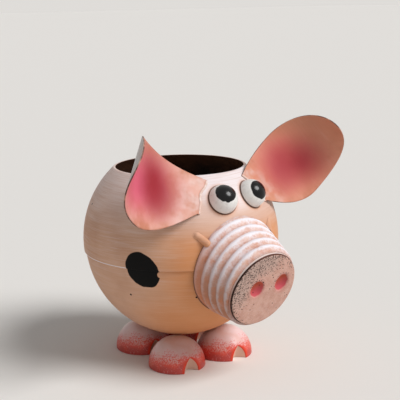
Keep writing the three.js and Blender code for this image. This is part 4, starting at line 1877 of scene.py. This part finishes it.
@dataclass
class SmileBead:
    """A low rounded bead from the cheek along the ball to the snout's root, ending on the tube."""

    snout: Snout
    side: Side
    rod: float = 7 * MM
    length: float = 11 * MM
    clock: float = 39.0
    sag: float = 2 * MM
    sink: float = 1.7 * MM
    overlap: float = 9 * MM
    steps: int = 48
    sides: int = 24

    def build(self, skin: bpy.types.Material) -> None:
        """Bends the rod along the ball and the tube, and flattens its underside onto them.

        Args:
            skin: The bead's paint.
        """
        snout, ball = self.snout, self.snout.ball
        outer = snout.beside(self.side, self.clock, self.length) * (ball.radius - self.sink)
        root = snout.beside(self.side, self.clock, 0.0) * (ball.radius - self.sag)
        angle = snout.clock_angle(self.side, self.clock)
        distance = snout.seat(angle, snout.cone_radius, ball.radius) - self.overlap
        inner = snout.around(angle, snout.cone_radius(distance) - self.sink, distance)
        shares = [step / self.steps for step in range(self.steps + 1)]
        path = [outer * (1 - s) ** 2 + root * 2 * s * (1 - s) + inner * s ** 2 for s in shares]
        bm = sweep(path, rounded_radii(path, self.rod / 2), self.sides)
        into_snout = (Matrix.Translation(-ball.centre) @ snout.frame).inverted()
        for vert in bm.verts:
            vert.co *= max(1.0, (ball.radius + SEAT_GAP) / vert.co.length)
            local = into_snout @ vert.co
            grown = snout.cone_radius(-local.z) / math.hypot(local.x, local.y)
            if grown > 1:
                vert.co = into_snout.inverted() @ Vector((local.x * grown, local.y * grown, local.z))
        tidy(bm)
        bmesh.ops.translate(bm, verts=bm.verts[:], vec=ball.centre)
        side = self.side.name.lower()
        publish(bm, f"smile_bead_{side}", f"smile_{side}", [skin])


@dataclass
class Foot:
    """A pressed dome with an arched cleft pressed into its front.

    The vertices within gather_angle of the toe are drawn together into the cleft, and those up to
    spread_angle are spread out behind them. That begins at gather_top and is full gather_fade lower.
    """

    ball: Ball
    side: Side
    end: End
    turn: float = -3.5
    radius: float = 28.8 * MM
    skirt: float = 1 * MM
    wall: float = 2 * MM
    side_gap: float = 0.8 * MM
    length_gap: float = 8.6 * MM
    cleft_width: float = 19 * MM
    cleft_depth: float = 10 * MM
    cleft_rise: float = 24 * MM
    cleft_top: float = 15 * MM
    cleft_least: float = 0.2 * MM
    cleft_curve: float = 1.5
    lip_limit: float = 40.0
    lip_least: float = 5.0
    gather_angle: float = 24.0
    spread_angle: float = 75.0
    press_angle: float = 60.0
    gather_top: float = 20 * MM
    gather_fade: float = 6 * MM
    depth_unit: float = 20 * MM
    rim_round: float = 0.7 * MM
    rim_steps: int = 3
    rim_angle: float = 60.0
    outer_steps: int = 48
    inner_steps: int = 30
    sides: int = 176
    sharp_angle: float = 50.0

    @cached_property
    def frame(self) -> Matrix:
        """The frame on the floor under the foot's middle.

        Returns:
            The frame, in which the toe points along -Y.
        """
        under = Vector((self.ball.centre.x, self.ball.centre.y, 0.0))
        aside = self.side.value * (self.radius + self.side_gap / 2)
        along = self.end.value * (self.radius + self.length_gap / 2)
        turned = Matrix.Translation(under) @ Matrix.Rotation(math.radians(self.turn), 4, "Z")
        return turned @ Matrix.Translation((aside, along, 0.0))

    def cleft_wall(self, across: float, height: float) -> float:
        """Gives how far back the cleft's wall stands.

        Args:
            across: The place across the foot, from its middle.
            height: The height above the floor.

        Returns:
            The wall's Y, in the foot's frame.
        """
        arch = math.sqrt(max(0.0, 1 - (height / self.cleft_top) ** 2))
        half = max(arch * self.cleft_width / 2, self.cleft_least)
        depth = self.cleft_depth * max(0.0, 1 - height / self.cleft_rise)
        return -self.radius + depth * (1 - (abs(across) / half) ** self.cleft_curve)

    def dome_radius(self, height: float) -> float:
        """Gives the dome's radius at a height above the floor."""
        return math.sqrt(max(self.radius ** 2 - max(0.0, height - self.skirt) ** 2, 0.0))

    def lip_angle(self, height: float) -> float:
        """Finds the angle about the foot's middle at which the cleft's lip lies at a height.

        Args:
            height: The height above the floor.

        Returns:
            The angle in radians, or 0 above the cleft.
        """
        radius = self.dome_radius(height)

        def in_cleft(angle: float) -> bool:
            """Says whether the cleft's wall stands behind the dome at an angle."""
            return self.cleft_wall(radius * math.sin(angle), height) > -radius * math.cos(angle)

        return halved(0.0, math.radians(self.lip_limit), ANGLE_TOLERANCE, in_cleft)

    def press(self, vert: bmesh.types.BMVert) -> Pair:
        """Moves a vertex of the dome into the cleft.

        Args:
            vert: The vertex, in the foot's frame.

        Returns:
            The depth in the cleft, from 0.5 at its lip and as a share of depth_unit, and the height's share.
        """
        gathered, spread = math.radians(self.gather_angle), math.radians(self.spread_angle)
        x, y, height = vert.co
        radius = math.hypot(x, y)
        lip = max(self.lip_angle(height), math.radians(self.lip_least))
        fade = min(1.0, max(0.0, (self.gather_top - height) / self.gather_fade))
        held = gathered + (lip - gathered) * fade
        angle = math.atan2(x, -y)
        size = abs(angle)
        if size < gathered:
            size *= held / gathered
        elif size < spread:
            size = held + (size - gathered) * (spread - held) / (spread - gathered)
        angle = math.copysign(size, angle)
        inset = self.dome_radius(height) - radius
        x, y = radius * math.sin(angle), -radius * math.cos(angle)
        pressed = size < math.radians(self.press_angle)
        depth = self.cleft_wall(x, height) + inset - y if pressed else -self.depth_unit
        vert.co = (x, y + max(0.0, depth), height)
        return min(1.0, max(0.0, 0.5 + depth / self.depth_unit)), height / self.radius

    def build(self) -> None:
        """Turns the dome, presses the cleft and paints it."""
        inner = self.radius - self.wall
        profile = Profile(0.0, self.skirt + self.radius)
        profile.arc(0.0, self.skirt, 90, self.outer_steps)
        profile.line(self.radius, 0.0).line(inner, 0.0).line(inner, self.skirt)
        profile.arc(0.0, self.skirt, -90, self.inner_steps)
        bm = profile.turned(self.sides, closed=False)
        soften(bm, self.rim_round, self.rim_steps, self.rim_angle)
        layer = bm.loops.layers.uv.new("cleft")
        places = {vert: self.press(vert) for vert in bm.verts}
        for face in bm.faces:
            for loop in face.loops:
                loop[layer].uv = places[loop.vert]
        bmesh.ops.recalc_face_normals(bm, faces=bm.faces[:])
        bmesh.ops.transform(bm, matrix=self.frame, verts=bm.verts[:])
        place = f"{self.end.name}_{self.side.name}".lower()
        coat = FootPaint(self.frame).material(f"hoof_paint_{place}")
        publish(bm, f"hoof_{place}", f"foot_{place}", [coat], self.sharp_angle)


@dataclass
class Tail:
    """A corkscrew rod at the rear of the ball."""

    ball: Ball
    rod: float = 6 * MM
    stem: float = 5 * MM
    curl_radius: float = 10 * MM
    pitch: float = 12 * MM
    turns: float = 1.75
    opening_turns: float = 0.75
    elevation: float = 14.0
    steps: int = 140
    easing: int = 60
    sides: int = 24

    def point(self, share: float) -> Vector:
        """Gives a point of the rod's middle line.

        Args:
            share: The place along the rod, from 0 at its root to 1 at its tip.

        Returns:
            The point, with Z pointing out of the ball.
        """
        along = share * (self.stem + self.turns * self.pitch)
        turned = max(0.0, along - self.stem) / self.pitch
        rise = min(turned / self.opening_turns, 1.0)
        radius = self.curl_radius * rise * rise * (3 - 2 * rise)
        angle = 2 * math.pi * turned
        return Vector((radius * math.sin(angle), radius * (1 - math.cos(angle)), along))

    def build(self, skin: bpy.types.Material) -> None:
        """Winds the rod and seats it on the ball.

        Args:
            skin: The tail's paint.
        """
        outward = ball_direction(180, self.elevation)
        seat = Matrix.Translation(self.ball.centre + outward * self.ball.radius) @ outward_turn(outward)
        points = [self.point(step / self.steps) for step in range(self.steps + 1)]
        path = relaxed([points[0], *(point for point in points if point.z > 2 * SEAT_GAP)], self.easing)
        bm = sweep(path, rounded_radii(path, self.rod / 2, domed_start=False), self.sides)
        reach = self.ball.radius + SEAT_GAP
        for vert in bm.verts:
            on_ball = math.sqrt(reach ** 2 - vert.co.x ** 2 - vert.co.y ** 2) - self.ball.radius
            vert.co.z = max(vert.co.z, on_ball)
        bmesh.ops.recalc_face_normals(bm, faces=bm.faces[:])
        bmesh.ops.transform(bm, matrix=seat, verts=bm.verts[:])
        publish(bm, "tail_curl", "tail", [skin])


@dataclass
class Studio:
    """A plain pale floor and backdrop, one broad soft light and the photograph's camera."""

    centre: Vector
    azimuth: float = -36.0
    elevation: float = 13.81
    distance: float = 1.0
    aim_right: float = 20.38 * MM
    aim_up: float = 36.30 * MM
    roll: float = -0.984
    lens: float = 87.14
    sensor: float = 36.0
    pale: Colour = paint(236, 233, 229)
    world_light: float = 0.28
    sun_light: float = 2.65
    sun_right: float = 0.62
    sun_rise: float = 0.70
    sun_toward: float = -0.30
    sun_angle: float = 30.0
    floor_size: float = 30.0

    @cached_property
    def right(self) -> Vector:
        """The level direction to the camera's right."""
        return UP.cross(ball_direction(self.azimuth, 0)).normalized()

    @cached_property
    def toward_sun(self) -> Vector:
        """The direction of the light's source."""
        ahead = UP.cross(self.right)
        return (self.right * self.sun_right + UP * self.sun_rise + ahead * self.sun_toward).normalized()

    def build_camera(self) -> None:
        """Places the camera."""
        back = ball_direction(self.azimuth, self.elevation)
        place = self.centre + back * self.distance
        aim = self.centre + self.right * self.aim_right + back.cross(self.right) * self.aim_up
        away = (place - aim).normalized()
        level = UP.cross(away).normalized()
        facing = Matrix((level, away.cross(level), away)).transposed().to_4x4()
        roll = Matrix.Rotation(math.radians(self.roll), 4, "Z")
        data = bpy.data.cameras.new("photo_camera")
        data.lens = self.lens
        data.sensor_width = self.sensor
        data.sensor_fit = "HORIZONTAL"
        camera = bpy.data.objects.new("photo_camera", data)
        camera.matrix_world = Matrix.Translation(place) @ facing @ roll
        bpy.context.scene.collection.objects.link(camera)
        bpy.context.scene.camera = camera

    def build_floor(self) -> None:
        """Lays the floor."""
        bm = bmesh.new()
        bmesh.ops.create_grid(bm, x_segments=1, y_segments=1, size=self.floor_size)
        mesh = bpy.data.meshes.new("floor")
        bm.to_mesh(mesh)
        bm.free()
        mesh.materials.append(FloorPaint(self.pale).material("floor_paint"))
        floor = bpy.data.objects.new("floor", mesh)
        bpy.context.scene.collection.objects.link(floor)

    def build_sun(self) -> None:
        """Hangs the soft light."""
        data = bpy.data.lights.new("soft_light", "SUN")
        data.energy = self.sun_light
        data.angle = math.radians(self.sun_angle)
        lamp = bpy.data.objects.new("soft_light", data)
        turn = self.toward_sun.to_track_quat("Z", "Y").to_matrix().to_4x4()
        lamp.matrix_world = Matrix.Translation(self.centre + self.toward_sun) @ turn
        bpy.context.scene.collection.objects.link(lamp)

    def build_backdrop(self) -> None:
        """Lights the scene from all round, and shows the lit floor's own colour behind the object."""
        level = self.sun_light * self.toward_sun.z / math.pi + self.world_light
        red, green, blue, alpha = self.pale
        backdrop = (red * level, green * level, blue * level, alpha)
        ambient = (self.world_light, self.world_light, self.world_light, alpha)
        world = bpy.data.worlds.new("studio")
        world.use_nodes = True
        graph = Graph(world.node_tree)
        rays = graph.node("ShaderNodeLightPath", {}).outputs
        kinds = ("Is Camera Ray", "Is Glossy Ray", "Is Transmission Ray")
        shown = reduce(graph.most, [rays[kind] for kind in kinds])
        light = graph.node("ShaderNodeBackground", {"Color": graph.mix(shown, ambient, backdrop)})
        graph.node("ShaderNodeOutputWorld", {"Surface": light.outputs[0]})
        bpy.context.scene.world = world

    def build(self) -> None:
        """Makes the whole studio."""
        self.build_camera()
        self.build_floor()
        self.build_sun()
        self.build_backdrop()
        bpy.context.scene.view_settings.view_transform = "Standard"


def main() -> None:
    """Builds every piece and the studio."""
    logging.basicConfig(level=logging.INFO, format="%(name)s: %(message)s")
    ball = Ball()
    snout = Snout(ball)
    eyes = (
        Eye(snout, Side.LEFT, gaze_left=-9.5, gaze_up=-1.9, pupil_angle=41.6),
        Eye(snout, Side.RIGHT, gaze_left=-10.4, gaze_up=14.5, pupil_angle=44.3),
    )
    seats = tuple(eye.frame.to_translation() for eye in eyes)
    skin = BallPaint(ball.centre, snout.frame, seats, -ball.seam_drop).material("ball_paint")
    ball.build(skin, HollowPaint(ball.centre).material("hollow_primer"))
    ribs = SnoutPaint(
        ball.centre, snout.frame, ball.radius, snout.rib_start, snout.rib_pitch, snout.rib_slope,
    )
    snout.build_tube(ribs.material("snout_paint"))
    disc = DiscPaint(snout.frame, snout.end_radius, snout.nostrils)
    snout.build_disc(disc.material("snout_face_paint"))
    rod = RodPaint(ball.centre, ball.radius).material("rod_paint")
    bead = RodPaint(
        ball.centre, ball.radius, peach=paint(228, 196, 182), chalk=paint(242, 230, 226),
        painted_seat_shade=Fade(0.8, 0.24, 0.4),
    ).material("weld_paint")
    edge = EdgePaint().material("ear_edge_paint")
    for eye in eyes:
        eye.build()
        ear = Ear(eye)
        name = eye.side.name.lower()
        face = EarPaint.for_side(eye.side, ear.sheet)
        back = EarBackPaint(ear.sheet, face.peach)
        ear.build([face.material(f"ear_face_paint_{name}"), back.material(f"ear_back_paint_{name}"), edge])
        ear.build_weld(bead)
        SmileBead(snout, eye.side).build(skin)
        for end in End:
            Foot(ball, eye.side, end).build()
    Tail(ball).build(rod)
    Studio(ball.centre).build()


if __name__ == "__main__":
    main()
